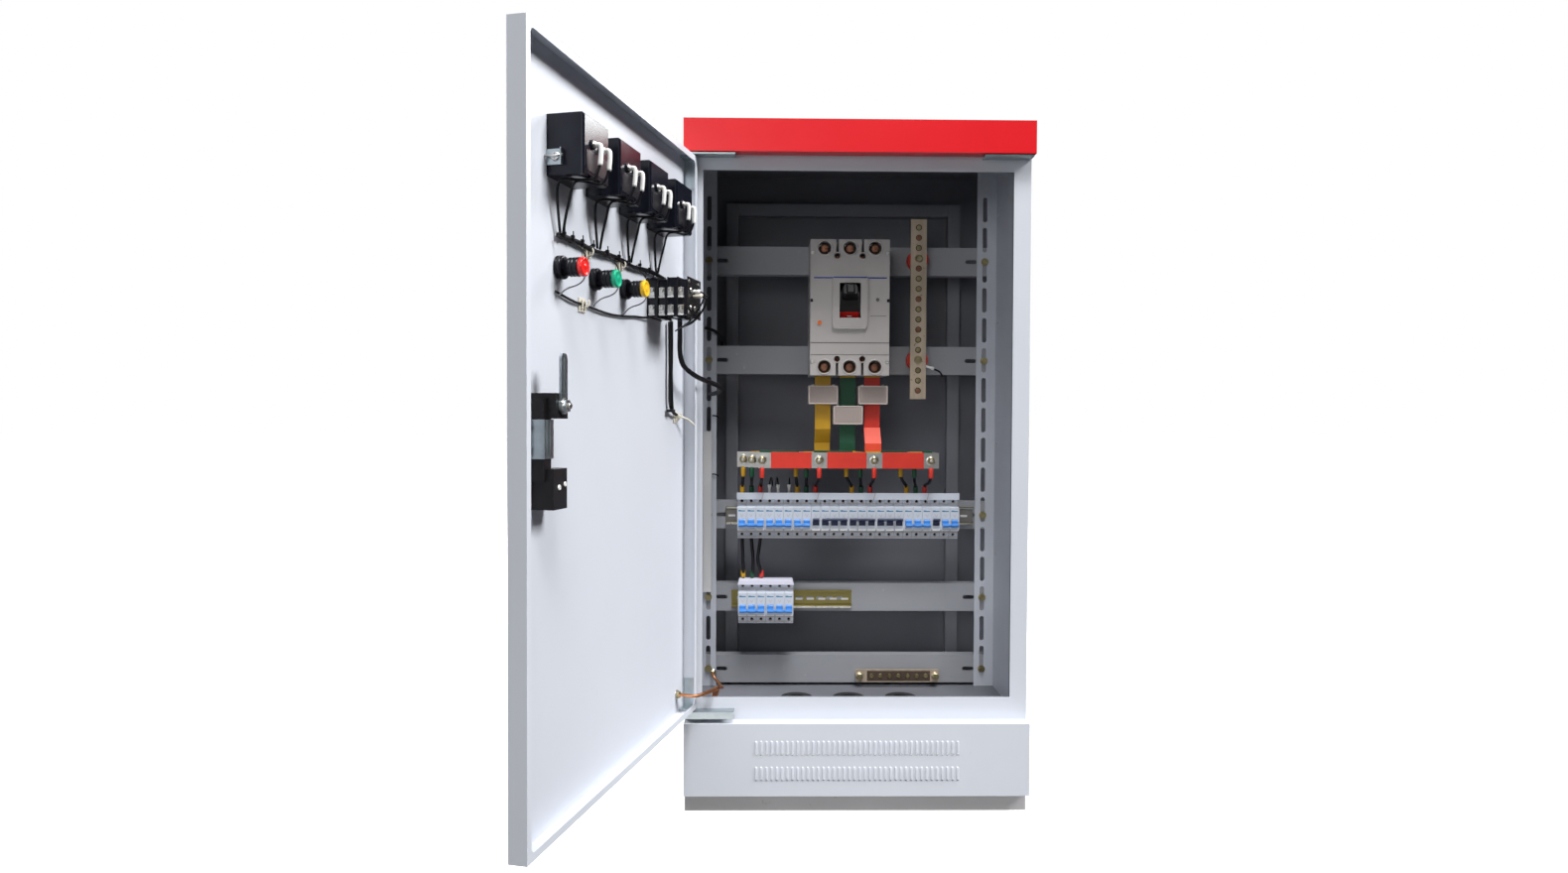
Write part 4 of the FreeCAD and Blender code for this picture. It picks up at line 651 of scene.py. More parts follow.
# ---- pieces --------------------------------------------------------------------------------
COVER_Y = -39.0            # face of the main breaker's cover
BREAKER_X, BREAKER_Z = -2.5, 899.0
POLE_XS = (-50.5, -2.5, 45.5)
PHASES = ("phase_yellow", "phase_green", "phase_red")
BAR_Z = 608.0
BAR_Y = (20.0, 0.0, -20.0)
TAPS = ((-205.0, -102.0, -3.0, 104.0), (-188.0, -82.0, 22.5, 128.0), (-168.0, -58.5, 47.5, 156.5))
ROWS = ((-216.0, 494.0, 24), (-214.0, 327.0, 6))
PITCH = 18.0
SHOULDER_Y, NOSE_Y, ENTRY_Y = 16.0, -1.0, 30.0
METER_US = (462.5, 353.5, 244.5, 135.5)
METER_Z = 1018.0
LAMPS = ((468.0, "lamp_red"), (366.0, "lamp_green"), (264.0, "lamp_yellow"))
SWITCH_U, LAMP_Z = 140.0, 875.0
BUNDLE_Z, LAMP_LEAD_Z = 913.0, 842.0
LOCK_U, LOCK_Z = 523.0, 703.0
TOWARDS_FRONT = (0, -1, 0)
INTO_CABINET = (0, 1, 0)


class SWITCHBOARD_OT_vent_louvres(bpy.types.Operator):
    """Pressed hoods over the plinth's vent slots, closed above and open below."""
    bl_idname = "switchboard.vent_louvres"
    bl_label = "Vent louvres"

    def execute(self, context):
        form = Form()
        front = -210.0
        rise = chosen("fittings").louvre_rise / MM
        rows = ((12.6, 0.0), (11.4, 0.6 * rise), (8.0, 0.88 * rise), (0.0, 0.94 * rise), (-7.0, rise), (-9.8, rise))
        for z in (74.0, 119.0):
            for i in range(40):
                x = (i - 19.5) * 8.95
                part = bmesh.new()
                shells = []
                for thick in (0.0, 0.5):
                    shells.append([[part.verts.new((x + dx * (1 if out else 0.8), front - max(out - thick, -0.4) * lift,
                                                    z + dz - (0.3 if thick and dz > 11 else 0)))
                                    for dx, lift in ((-2.1, 0.0), (-1.4, 1.0), (1.4, 1.0), (2.1, 0.0))]
                                   for dz, out in rows])
                for shell in shells:
                    for a, b in zip(shell, shell[1:]):
                        for k in range(3):
                            part.faces.new((a[k], a[k + 1], b[k + 1], b[k]))
                outer, inner = shells
                for k in range(3):
                    part.faces.new((outer[0][k], outer[0][k + 1], inner[0][k + 1], inner[0][k]))
                    part.faces.new((outer[-1][k], outer[-1][k + 1], inner[-1][k + 1], inner[-1][k]))
                for a in range(len(rows) - 1):
                    for k in (0, 3):
                        part.faces.new((outer[a][k], outer[a + 1][k], inner[a + 1][k], inner[a][k]))
                form._take(part, "cabinet_paint")
        form.piece("vent_louvres", "cabinet", "cabinet_paint")
        return {"FINISHED"}


class SWITCHBOARD_OT_breaker_trim(bpy.types.Operator):
    """Line, seams, well rims, side clips and small screws on the main breaker's cover, with dark pucks in the wells as
    painted shade.
    """
    bl_idname = "switchboard.breaker_trim"
    bl_label = "Main breaker trim"

    def execute(self, context):
        form = Form()
        face = COVER_Y
        rim = chosen("fittings").rim_rise / MM
        form.block((-71, face - 0.3, 953.6), (67.5, face + 0.3, 956.2), "mark_blue", 0.2)
        form.block((-34, -45.3, 953.6), (29, -44.8, 956.2), "mark_blue", 0.2)
        form.block((-77, face - 0.4, 831.2), (72, face + 0.2, 833.0), "seam_and_shadow_grey", 0.2)
        form.block((-77, face - 0.4, 808.8), (72, face + 0.2, 810.2), "seam_and_shadow_grey", 0.2)
        form.block((36, face - 0.3, 882.4), (67, face + 0.2, 883.4), "seam_and_shadow_grey", 0.1)
        for side in (-1, 1):
            z = BREAKER_Z + side * 112.5
            for x in POLE_XS:
                # Painted shade: a dark brown puck at the bottom of each well.
                form.turned((x, -22, z), TOWARDS_FRONT, [(0, 10.2), (3, 10.2), (4.2, 9.2), (4.2, 0)], "painted_shade_brown", 24)
                form.cross_screw((x, -26.2, z), TOWARDS_FRONT, 7.4, 3.0, "copper_dark", True)
                form.turned((x, face, z), TOWARDS_FRONT, [(-6, 12.9), (-6, 11.9), (0.3 * rim, 12.2),
                                                          (0.9 * rim, 12.9), (rim, 14.2), (0.6 * rim, 15.2),
                                                          (-0.2, 15.6), (-6, 12.9)],
                            "breaker_shell", 36)
                form.turned((x, 12.0, z), TOWARDS_FRONT, [(0, 9), (1.2, 9), (1.2, 0)], "copper_dark")
                if side > 0:
                    form.turned((x, 11.0, z), TOWARDS_FRONT, [(0, 6.4), (4.5, 6.4), (5.2, 5.8), (5.2, 3.2), (2.6, 3.0),
                                                              (2.6, 0)], "copper_dark", 6, False)
            for i in (-0.5, 0.5):
                x = BREAKER_X + i * 48
                form.turned((x, face, BREAKER_Z + side * 97.5), TOWARDS_FRONT,
                            [(-4, 6), (-4, 5.4), (0.2, 5.6), (0.6, 6.2), (0.6, 7.0), (-0.1, 7.4), (-4, 6)],
                            "breaker_shell", 24)
                form.cross_screw((x, -14, BREAKER_Z + side * 97.5), TOWARDS_FRONT, 4.6, 2.4, "copper_dark")
            for x in (-73.5, 68.5):
                form.cross_screw((x, face, BREAKER_Z + side * 103), TOWARDS_FRONT, 3.2, 1.2, "screw_steel")
        for x in (-75.2, 70.2):
            form.outline([(x - 2.6, 909), (x + 2.6, 909), (x + 2.6, 915), (x - 2.6, 915)], 1, face - 0.5, face + 0.3,
                         "lever_black", 0.3)
        form.turned((50, face, 914), TOWARDS_FRONT, [(-0.2, 3.4), (0.7, 3.4), (0.7, 2.4), (0.2, 2.2), (0.2, 0)],
                    "seam_and_shadow_grey")
        low, high, front = (-34.5, 859.5), (29.5, 956.5), -45.0
        for a, b in (((low[0], low[1]), (high[0], low[1] + 1.6)), ((low[0], low[1]), (low[0] + 1.4, high[1])),
                     ((high[0] - 1.4, low[1]), (high[0], high[1]))):
            form.block((a[0], front - 0.6, a[1] + 3), (b[0], front + 0.3, max(b[1] - 3, a[1] + 4.5)), "breaker_shell",
                       0.5)
        form.piece("breaker_trim", "cabinet", "breaker_shell")
        return {"FINISHED"}


class SWITCHBOARD_OT_breaker_lever(bpy.types.Operator):
    """Moulded paddle over the main breaker's lever, with its ribs, and the red tongue under it."""
    bl_idname = "switchboard.breaker_lever"
    bl_label = "Main breaker lever"

    def execute(self, context):
        form = Form()
        axis_y, axis_z, lean = 5.0, 912.0, math.radians(18.0)

        def turned_up(point):
            x, y, z = point
            dy, dz = y - axis_y, z - axis_z
            return (x, axis_y + dy * math.cos(lean) + dz * math.sin(lean) * 1.0,
                    axis_z - dy * math.sin(lean) + dz * math.cos(lean))

        lean_form = Form(lambda x, y, z: row_place(*turned_up((x, y, z))))
        grip = [(-36.0, 15.5, 12.5), (-44.0, 15.2, 12.0), (-54.0, 14.6, 11.4), (-61.0, 14.0, 10.6), (-63.5, 12.6, 9.2)]
        part = bmesh.new()
        rings = []
        for y, w, h in grip:
            ring = []
            for i in range(24):
                a = 2 * math.pi * (i + 0.5) / 24
                cx, cz = math.cos(a), math.sin(a)
                k = 1 / (abs(cx) ** 6 + abs(cz) ** 6) ** (1 / 6)
                ring.append(part.verts.new((BREAKER_X + w * cx * k, y + 6, axis_z + h * cz * k)))
            rings.append(ring)
        for a, b in zip(rings, rings[1:]):
            for i in range(24):
                j = (i + 1) % 24
                part.faces.new((a[i], a[j], b[j], b[i]))
        part.faces.new(rings[0])
        part.faces.new(rings[-1])
        lean_form._take(part, "lever_black")
        for i in range(5):
            y = -38.0 - i * 3.6
            lean_form.block((BREAKER_X - 11, y, axis_z + 10.8), (BREAKER_X + 11, y + 1.5, axis_z + 13.0),
                            "lever_black", 0.4)
        lean_form.piece("breaker_lever_grip", "main_lever", "lever_black")
        steps = 8
        arc = []
        for i in range(steps + 1):
            a = math.radians(-29.0 - 27.0 * i / steps)
            arc.append((axis_y - 40.6 * math.cos(a), axis_z + 40.6 * math.sin(a)))
        inner = [(axis_y + (y - axis_y) * 0.955, axis_z + (z - axis_z) * 0.955) for y, z in reversed(arc)]
        form.outline(arc + inner, 0, BREAKER_X - 18.5, BREAKER_X + 18.5, "mark_red")
        a = math.radians(-43.0)
        mid = (axis_y - 40.9 * math.cos(a), axis_z + 40.9 * math.sin(a))
        form.block((BREAKER_X - 4.5, mid[0] - 0.4, mid[1] - 1.2), (BREAKER_X + 4.5, mid[0] + 1.0, mid[1] + 2.2),
                   "ferrule_white", 0.3)
        form.piece("breaker_lever_tongue", "main_lever", "lever_black")
        return {"FINISHED"}


class SWITCHBOARD_OT_dropper_sleeves(bpy.types.Operator):
    """Coloured sleeves over the bars that drop from the main breaker, with painted light on the lower part of the red
    one.
    """
    bl_idname = "switchboard.dropper_sleeves"
    bl_label = "Dropper sleeves"

    def execute(self, context):
        form = Form()
        grow = chosen("fittings").dropper_wall / MM
        for x, end_y, coat in zip(POLE_XS, (24.0, 4.0, -16.0), PHASES):
            line = [(8.0 - grow, 768.0), (8.0 - grow, 668.0), (end_y - grow, 641.0), (end_y - grow, 626.0)]
            back = [(y + 4.0 + 2 * grow, z) for y, z in reversed(line)]
            form.outline(line + back, 0, x - 15.0 - grow, x + 15.0 + grow, coat, 0.3)
            # Painted light: the red dropper's lower part, bent forward, takes a brighter red where light falls on it.
            if coat == "phase_red":
                low, wrap = line[1:], 0.5
                low = [(8.0 - grow - wrap, 671.0)] + [(a - wrap, b) for a, b in low[1:]]
                back = [(a + 4.0 + 2 * (grow + wrap), b) for a, b in reversed(low)]
                form.outline(low + back, 0, x - 15.8, x + 15.8, "phase_red_painted_light", 0.3)
        form.piece("dropper_sleeves", "cabinet", "tinned_copper")
        return {"FINISHED"}


class SWITCHBOARD_OT_transformer_faces(bpy.types.Operator):
    """Raised rims and label plates on the current transformers."""
    bl_idname = "switchboard.transformer_faces"
    bl_label = "Transformer faces"

    def execute(self, context):
        form = Form()
        for x, z in zip(POLE_XS, (734.0, 695.0, 734.0)):
            w, h, y = 28.5, 18.0, -10.0
            for low, high in (((x - w, z + h - 2.4), (x + w, z + h)), ((x - w, z - h), (x + w, z - h + 2.4)),
                              ((x - w, z - h), (x - w + 2.4, z + h)), ((x + w - 2.4, z - h), (x + w, z + h))):
                form.block((low[0], y - 0.9, low[1]), (high[0], y + 1.5, high[1]), "transformer_rim", 0.6)
            form.block((x - 23, y - 0.25, z - 12.5), (x + 23, y + 0.2, z + 12.5), "transformer_shell", 0.2)
            for side in (-1, 1):
                form.cross_screw((x + side * 20, 2, z + h), (0, 0, 1), 3.2, 2.2, "screw_steel")
        form.piece("transformer_faces", "cabinet", "transformer_shell")
        return {"FINISHED"}


class SWITCHBOARD_OT_bar_sleeves(bpy.types.Operator):
    """Heat-shrunk sleeves between the taps of the three busbars."""
    bl_idname = "switchboard.bar_sleeves"
    bl_label = "Busbar sleeves"

    def execute(self, context):
        form = Form()
        spans = (((-191, -116), (-88, -17), (12, 90), (119, 162)),
                 ((-173, -97), (-67, 8), (38, 113), (143, 162)),
                 ((-151, -73), (-43, 33), (63, 143)))
        wall = chosen("fittings").sleeve_wall / MM
        for y, coat, pieces in zip(BAR_Y, PHASES, spans):
            for x0, x1 in pieces:
                top = 18.2 if coat == "phase_green" else 15.7
                form.block((x0, y - wall, BAR_Z - 15.0 - wall), (x1, y + 4.0 + wall, BAR_Z + top), coat, 0.9, 3)
        form.piece("bar_sleeves", "cabinet", "tinned_copper")
        return {"FINISHED"}


class SWITCHBOARD_OT_bar_hardware(bpy.types.Operator):
    """Tap bolts with their washers and lugs, and the slotted screws of the neutral and earth bars, with dark rings and
    a dark strip round these screws as painted shade.
    """
    bl_idname = "switchboard.bar_hardware"
    bl_label = "Bar screws and bolts"

    def execute(self, context):
        form = Form()
        for y, taps in zip(BAR_Y, TAPS):
            for x in taps:
                form.turned((x, y, BAR_Z), TOWARDS_FRONT, [(0, 9.0), (1.2, 9.0), (1.5, 8.6), (1.5, 0)], "screw_steel")
                form.turned((x, y, BAR_Z), TOWARDS_FRONT, [(1.5, 7.2), (2.9, 7.0), (2.9, 0)], "yellow_zinc")
                form.turned((x, y, BAR_Z), TOWARDS_FRONT, [(2.9, 6.3), (6.8, 6.3), (7.6, 5.4), (7.6, 0)],
                            "yellow_zinc", 6, False)
                form.turned((x, y, BAR_Z), TOWARDS_FRONT, [(7.5, 3.0), (8.6, 3.0), (9.0, 2.4), (9.0, 0)],
                            "screw_steel", 16)
                form.turned((x, y + 4, BAR_Z), INTO_CABINET, [(0, 4), (3, 4), (3, 0)], "yellow_zinc", 16)
                form.outline([(x - 6.5, BAR_Z - 7), (x + 6.5, BAR_Z - 7), (x + 4, BAR_Z - 15.5),
                              (x - 4, BAR_Z - 15.5)], 1, y - 1.4, y - 0.1, "tinned_copper", 0.3)
        z_mid = 904.0
        for i in range(17):
            z = z_mid + (i - 8) * 20.0
            if min(abs(z - 1003), abs(z - 805)) < 11.6:
                continue
            # Painted shade: a dark ring round each neutral screw stands in for the shade of its recess.
            form.turned((138, 29, z), TOWARDS_FRONT, [(-0.1, 5.9), (0.5, 5.9), (0.8, 5.3), (0.3, 4.6), (-0.1, 4.6)],
                        "painted_shade_brown")
            form.cross_screw((138, 29.0, z), TOWARDS_FRONT, 4.4, 2.2, "yellow_zinc" if i % 3 else "copper_dark", True)
            form.turned((138, 29, z), INTO_CABINET, [(0, 2.5), (5, 2.5), (5, 0)], "bar_brass", 14)
        for z in (1003.0, 805.0):
            form.turned((138, 29, z), TOWARDS_FRONT, [(0, 8.0), (1.2, 8.0), (1.2, 0)], "bar_brass")
            form.turned((138, 29, z), TOWARDS_FRONT, [(1.2, 6.6), (5.4, 6.6), (6.0, 5.8), (6.0, 0)], "yellow_zinc",
                        6, False)
            form.turned((138, 29, z), INTO_CABINET, [(0, 3), (13, 3), (13, 0)], "yellow_zinc", 14)
        # Painted shade: a dark strip on the earth bar behind its screws, and dark rings round the screws below.
        form.block((42, 38.4, 166), (168, 39.2, 186), "painted_shade_brown", 0.3)
        for i in range(7):
            x = 51 + 18.0 * i
            form.turned((x, 39, 176), TOWARDS_FRONT, [(-0.1, 6.0), (0.5, 6.0), (0.7, 5.4), (0.3, 4.5), (-0.1, 4.5)],
                        "painted_shade_brown")
            form.cross_screw((x, 39, 176), TOWARDS_FRONT, 4.4, 2.2, "yellow_zinc", True)
        for x in (27.0, 178.0):
            form.turned((x, 39, 176), TOWARDS_FRONT, [(0, 8.0), (1.2, 8.0), (1.2, 0)], "bar_brass")
            form.turned((x, 39, 176), TOWARDS_FRONT, [(1.2, 6.6), (5.4, 6.6), (6.0, 5.8), (6.0, 0)], "yellow_zinc",
                        6, False)
        piece = form.piece("bar_hardware", "cabinet", "zinc")
        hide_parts("bar_bolts")
        return {"FINISHED"}


class SWITCHBOARD_OT_pole_fittings(bpy.types.Operator):
    """Marks, terminal screws darkened as painted shade, seams and the second row's cap, brightened as painted light, on
    the small breakers.
    """
    bl_idname = "switchboard.pole_fittings"
    bl_label = "Small breaker fittings"

    def execute(self, context):
        form = Form()
        for x0, z0, count in ROWS:
            for i in range(count):
                x = x0 + PITCH * (i + 0.5)
                form.block((x - 6.6, NOSE_Y - 0.2, z0 + 13.6), (x + 6.4, NOSE_Y + 0.3, z0 + 15.6), "mark_teal", 0.15)
                form.block((x - 6.6, NOSE_Y - 0.25, z0 + 15.2), (x - 1.5, NOSE_Y + 0.3, z0 + 16.4), "mark_teal", 0.15)
                for dz in (-32.5, 32.5):
                    # Painted shade: the terminal screws are real, but their near-black brown stands in for the shade of
                    # their holes.
                    form.cross_screw((x, SHOULDER_Y + 7.6, z0 + dz), TOWARDS_FRONT, 2.8, 1.3, "painted_shade_brown", True)
                    for edge in (-5.6, 3.4):
                        form.block((x - 8.7, SHOULDER_Y - 0.2, z0 + dz + edge),
                                   (x + 8.7, SHOULDER_Y + 0.3, z0 + dz + edge + 2.2), "pole_beige", 0.1)
                form.outline([(x - 3.2, z0 + 8.5), (x, z0 + 3.0), (x + 3.2, z0 + 8.5), (x + 2.6, z0 + 8.8),
                              (x, z0 + 4.2), (x - 2.6, z0 + 8.8)], 1, NOSE_Y - 0.12, NOSE_Y + 0.2, "mark_faint")
                form.block((x - 7.6, NOSE_Y - 0.5, z0 - 23.4), (x + 7.6, NOSE_Y + 0.8, z0 - 20.8), "ferrule_white", 0.5)
        x0, z0, count = ROWS[1]
        x1 = x0 + count * PITCH
        top = z0 + 40.5
        # The cap takes the brightened pole white, as painted light.
        form.outline([(x0 - 1, top - 4), (x1 + 1, top - 4), (x1 - 1.5, top + 5.5), (x0 + 1.5, top + 5.5)], 1,
                     5.0, SHOULDER_Y - 0.2, "pole_cap_painted_light", 0.6)
        form.block((x0 + 2, SHOULDER_Y - 0.4, top + 2.2), (x1 - 2, SHOULDER_Y + 22.0, top + 5.4), "pole_cap_painted_light", 0.6)
        x0, z0, count = ROWS[0]
        for i in (2.6, 8.6, 14.7, 20.5):
            x = x0 + PITCH * i
            form.outline([(x, 530.9), (x + 1.6, 530.9), (x + 5.0, 543.1), (x + 3.4, 543.1)], 1, 4.6, 5.3,
                         "mark_faint")
        form.piece("pole_fittings", "cabinet", "pole_white")
        return {"FINISHED"}


class SWITCHBOARD_OT_feeder_leads(bpy.types.Operator):
    """Leads from the busbars to the first row, from the first row to the second, and the bond lead."""
    bl_idname = "switchboard.feeder_leads"
    bl_label = "Feed and link leads"

    def execute(self, context):
        form = Form()
        wiring = chosen("wiring")
        for i, coat in enumerate(PHASES):
            for k, x_bar in enumerate(TAPS[i]):
                x_pole = ROWS[0][0] + PITCH * (i + (0, 6, 12, 18)[k] + 0.5)
                y = BAR_Y[i] + (-1.0 if i == 2 else 2.0)
                bow = 9.0 if (i, k) == (2, 3) else 2.0
                form.tube([(x_bar, y, 590), (x_bar, y, 574 - bow), (x_pole + (x_bar - x_pole) * 0.3, ENTRY_Y - 8, 560),
                           (x_pole, ENTRY_Y, 556), (x_pole, ENTRY_Y, 535)], wiring.feed / MM, "wire_black")
                form.turned((x_bar, y, 594), (0, 0, -1), [(0, 3.6), (1, 4.4), (8, 4.5), (19, 4.4), (20, 4.0), (20, 3.0)],
                            coat, 18)
                form.turned((x_pole, ENTRY_Y, 556), (0, 0, -1), [(0, 3.0), (0, 4.1), (1, 4.5), (14, 4.5), (15, 4.0),
                                                                (15, 3.0)], coat, 18)
        for i, coat in enumerate(PHASES):
            x_a, x_b = ROWS[0][0] + PITCH * (i + 0.5), ROWS[1][0] + PITCH * (i + 0.5)
            sway = (1.5, 4.0, -6.0)[i]
            form.tube([(x_a, ENTRY_Y, 454), (x_a + sway * 0.3, ENTRY_Y, 436), (x_a + sway, ENTRY_Y - 7, 412),
                       (x_b + sway * 0.5, ENTRY_Y - 4, 392), (x_b, ENTRY_Y, 380), (x_b, ENTRY_Y, 367)], wiring.link / MM,
                      "wire_black")
            form.turned((x_b, ENTRY_Y, 388), (0, 0, -1), [(0, 3.2), (0, 4.2), (1, 4.6), (12, 4.6), (13, 4.2),
                                                         (13, 3.2)], coat, 18)
        for x, tail in ((-153.5, 3.0), (-136.5, -2.0), (-115.0, 1.0)):
            form.turned((x, ENTRY_Y - 8, 542), (0, 0, 1), [(0, 2.6), (9, 2.6), (12, 3.4), (16, 3.6), (16.5, 2.8),
                                                           (16.5, 0)], "ferrule_white", 16)
            form.tube([(x, ENTRY_Y - 8, 558), (x + tail * 0.3, ENTRY_Y - 8, 566), (x + tail, ENTRY_Y + 4, 572),
                       (x + tail * 2, ENTRY_Y + 26, 566), (x + tail * 2, ENTRY_Y + 40, 552)], 1.3, "wire_black", 8)
        form.tube([(-266, 62, 176), (-266, 50, 176), (-262, 42, 172), (-252, 41, 160), (-246, 42, 150)], 3.2,
                  "copper_wire")
        form.turned((-266, 62, 176), TOWARDS_FRONT, [(0, 7.5), (1.4, 7.5), (1.4, 0)], "screw_steel")
        form.turned((-266, 60.6, 176), TOWARDS_FRONT, [(0, 5.6), (4, 5.6), (4.6, 4.8), (4.6, 0)], "yellow_zinc", 6,
                    False)
        form.turned((154, 30.5, 792), (1, 0, -0.3), [(0, 2.2), (9, 2.4), (12, 3.2), (16, 3.2), (16.5, 2.2), (16.5, 0)],
                    "ferrule_white", 16)
        form.tube([(168, 30.5, 787), (178, 31, 784), (186, 38, 779), (190, 56, 774)], 1.8, "wire_black", 8)
        form.tube([(-283, 58, 868), (-272, 57, 866), (-258, 60, 858), (-250, 70, 842), (-250, 90, 832)], 3.2,
                  "wire_black")
        for z in (693.0, 576.0):
            form.tube([(-268, 60, z), (-262, 56, z + 1), (-256, 58, z - 3)], 1.3, "wire_black", 8)
        piece = form.piece("feeder_leads", "cabinet", "wire_black")
        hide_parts("feeder_wires")
        return {"FINISHED"}


class SWITCHBOARD_OT_meter_fittings(bpy.types.Operator):
    """Studs, elbow sleeves and clamps behind the panel meters, with the leads down to the bundle."""
    bl_idname = "switchboard.meter_fittings"
    bl_label = "Meter studs and leads"

    def execute(self, context):
        form = Form(door_place)
        back = 37.5
        for u in METER_US:
            form.block((u - 34.5, back - 0.4, METER_Z - 35.5), (u + 34.5, back + 0.8, METER_Z + 35.5),
                       "instrument_black", 1.2)
            form.block((u - 31, back + 0.6, METER_Z - 31), (u + 31, back + 1.5, METER_Z - 6), "lamp_shell", 0.8)
            for side in (-1, 1):
                x, z = u + side * 13, METER_Z + 3
                form.turned((x, back + 0.5, z), INTO_CABINET, [(0, 6.2), (2, 6.2), (2.6, 5.5), (2.6, 0)], "lamp_shell")
                form.turned((x, back + 3, z), INTO_CABINET, [(0, 4.4), (2.8, 4.4), (2.8, 0)], "screw_steel", 6, False)
                form.tube([(x, back + 4.5, z - 1), (x, back + 11.0, z + 1), (x, back + 12.5, z - 5),
                           (x, back + 12, z - 16), (x, back + 11, z - 25)], 3.0, "ferrule_white", 14)
                near, out = (30.0, 0.0) if side > 0 else (22.0, 16.0)
                form.tube([(x, back + 11, z - 24), (x, back + 7, z - 38), (x, back - 2, METER_Z - 40),
                           (u + near, out + 8, METER_Z - 40), (u + near, out, METER_Z - 46),
                           (u + near - 2, out * 0.8 - 1, METER_Z - 62), (u + near - 8, out * 0.3 - 2, METER_Z - 84),
                           (u + near - 16, -4.0, BUNDLE_Z + 3)], chosen("wiring").meter_lead / MM, "wire_black", 10)
            for side in (-1, 1):
                edge = u + side * 36.0
                low, high = sorted((edge + side * 0.2, edge + side * 2.0))
                form.block((low, -10.3, METER_Z - 25), (high, 12, METER_Z - 6), "zinc", 0.4)
                low, high = sorted((edge + side * 0.2, edge + side * 8.0))
                form.block((low, 10.4, METER_Z - 25), (high, 12, METER_Z - 6), "zinc", 0.4)
                form.cross_screw((edge + side * 2.0, 2, METER_Z - 15), (side, 0, 0), 5.6, 2.6, "screw_steel")
                form.turned((edge + side * 5.5, 9, METER_Z - 15), (0, -1, 0), [(-4, 1.7), (19, 1.7), (19, 0)],
                            "screw_steel", 12)
        form.piece("meter_fittings", "door", "instrument_black")
        return {"FINISHED"}


class SWITCHBOARD_OT_meter_faces(bpy.types.Operator):
    """Dials with graduations, needles, rims and clear panes on the door's outer side."""
    bl_idname = "switchboard.meter_faces"
    bl_label = "Meter dials and panes"

    def execute(self, context):
        form = Form(door_place)
        glass = Form(door_place)
        out = -24.0
        outward = (0, -1, 0)
        for number, u in enumerate(METER_US):
            form.block((u - 34.8, out + 1.2, METER_Z - 22.8), (u + 34.8, out + 2.1, METER_Z + 34.8), "dial_white", 0.2)
            pivot_z = METER_Z - 12.0
            for k in range(26):
                a = math.radians(135 - 90 * k / 25)
                long = 6.5 if k % 5 == 0 else 3.6
                c, s = math.cos(a), math.sin(a)
                half = 0.45 if k % 5 == 0 else 0.28
                corners = []
                for r, w in ((33.0, half), (33.0 + long, half), (33.0 + long, -half), (33.0, -half)):
                    corners.append((u + r * c - w * s, pivot_z + r * s + w * c))
                form.outline(corners, 1, out + 1.0, out + 1.25, "instrument_black")
            a = math.radians((128, 96, 118, 74)[number])
            c, s = math.cos(a), math.sin(a)
            form.outline([(u - 1.0 * s, pivot_z + 1.0 * c), (u + 36 * c, pivot_z + 36 * s),
                          (u + 1.0 * s, pivot_z - 1.0 * c)], 1, out + 0.5, out + 0.8, "mark_red")
            form.outline([(u - 34.8, METER_Z - 22.8), (u + 34.8, METER_Z - 22.8), (u + 34.8, METER_Z - 10.0),
                          (u + 9, METER_Z - 10.0), (u + 4, METER_Z - 5.0), (u - 4, METER_Z - 5.0),
                          (u - 9, METER_Z - 10.0), (u - 34.8, METER_Z - 10.0)], 1, out + 0.05, out + 1.0,
                         "instrument_black", 0.2)
            form.cross_screw((u, out + 0.1, METER_Z - 31.0), outward, 3.0, 1.0, "screw_steel", True)
            for side in (-1, 1):
                form.block((u + side * 38.6 - 0.9, out - 0.5, METER_Z - 38), (u + side * 38.6 + 0.9, out + 1, METER_Z + 38),
                           "instrument_black", 0.5)
                form.block((u - 38, out - 0.5, METER_Z + side * 38.6 - 0.9), (u + 38, out + 1, METER_Z + side * 38.6 + 0.9),
                           "instrument_black", 0.5)
            glass.block((u - 35.0, out - 0.1, METER_Z - 23.0), (u + 35.0, out + 0.02, METER_Z + 35.0), "clear_pane",
                        0.04)
        form.piece("meter_faces", "door", "instrument_black")
        glass.piece("meter_panes", "door", "instrument_black")
        return {"FINISHED"}


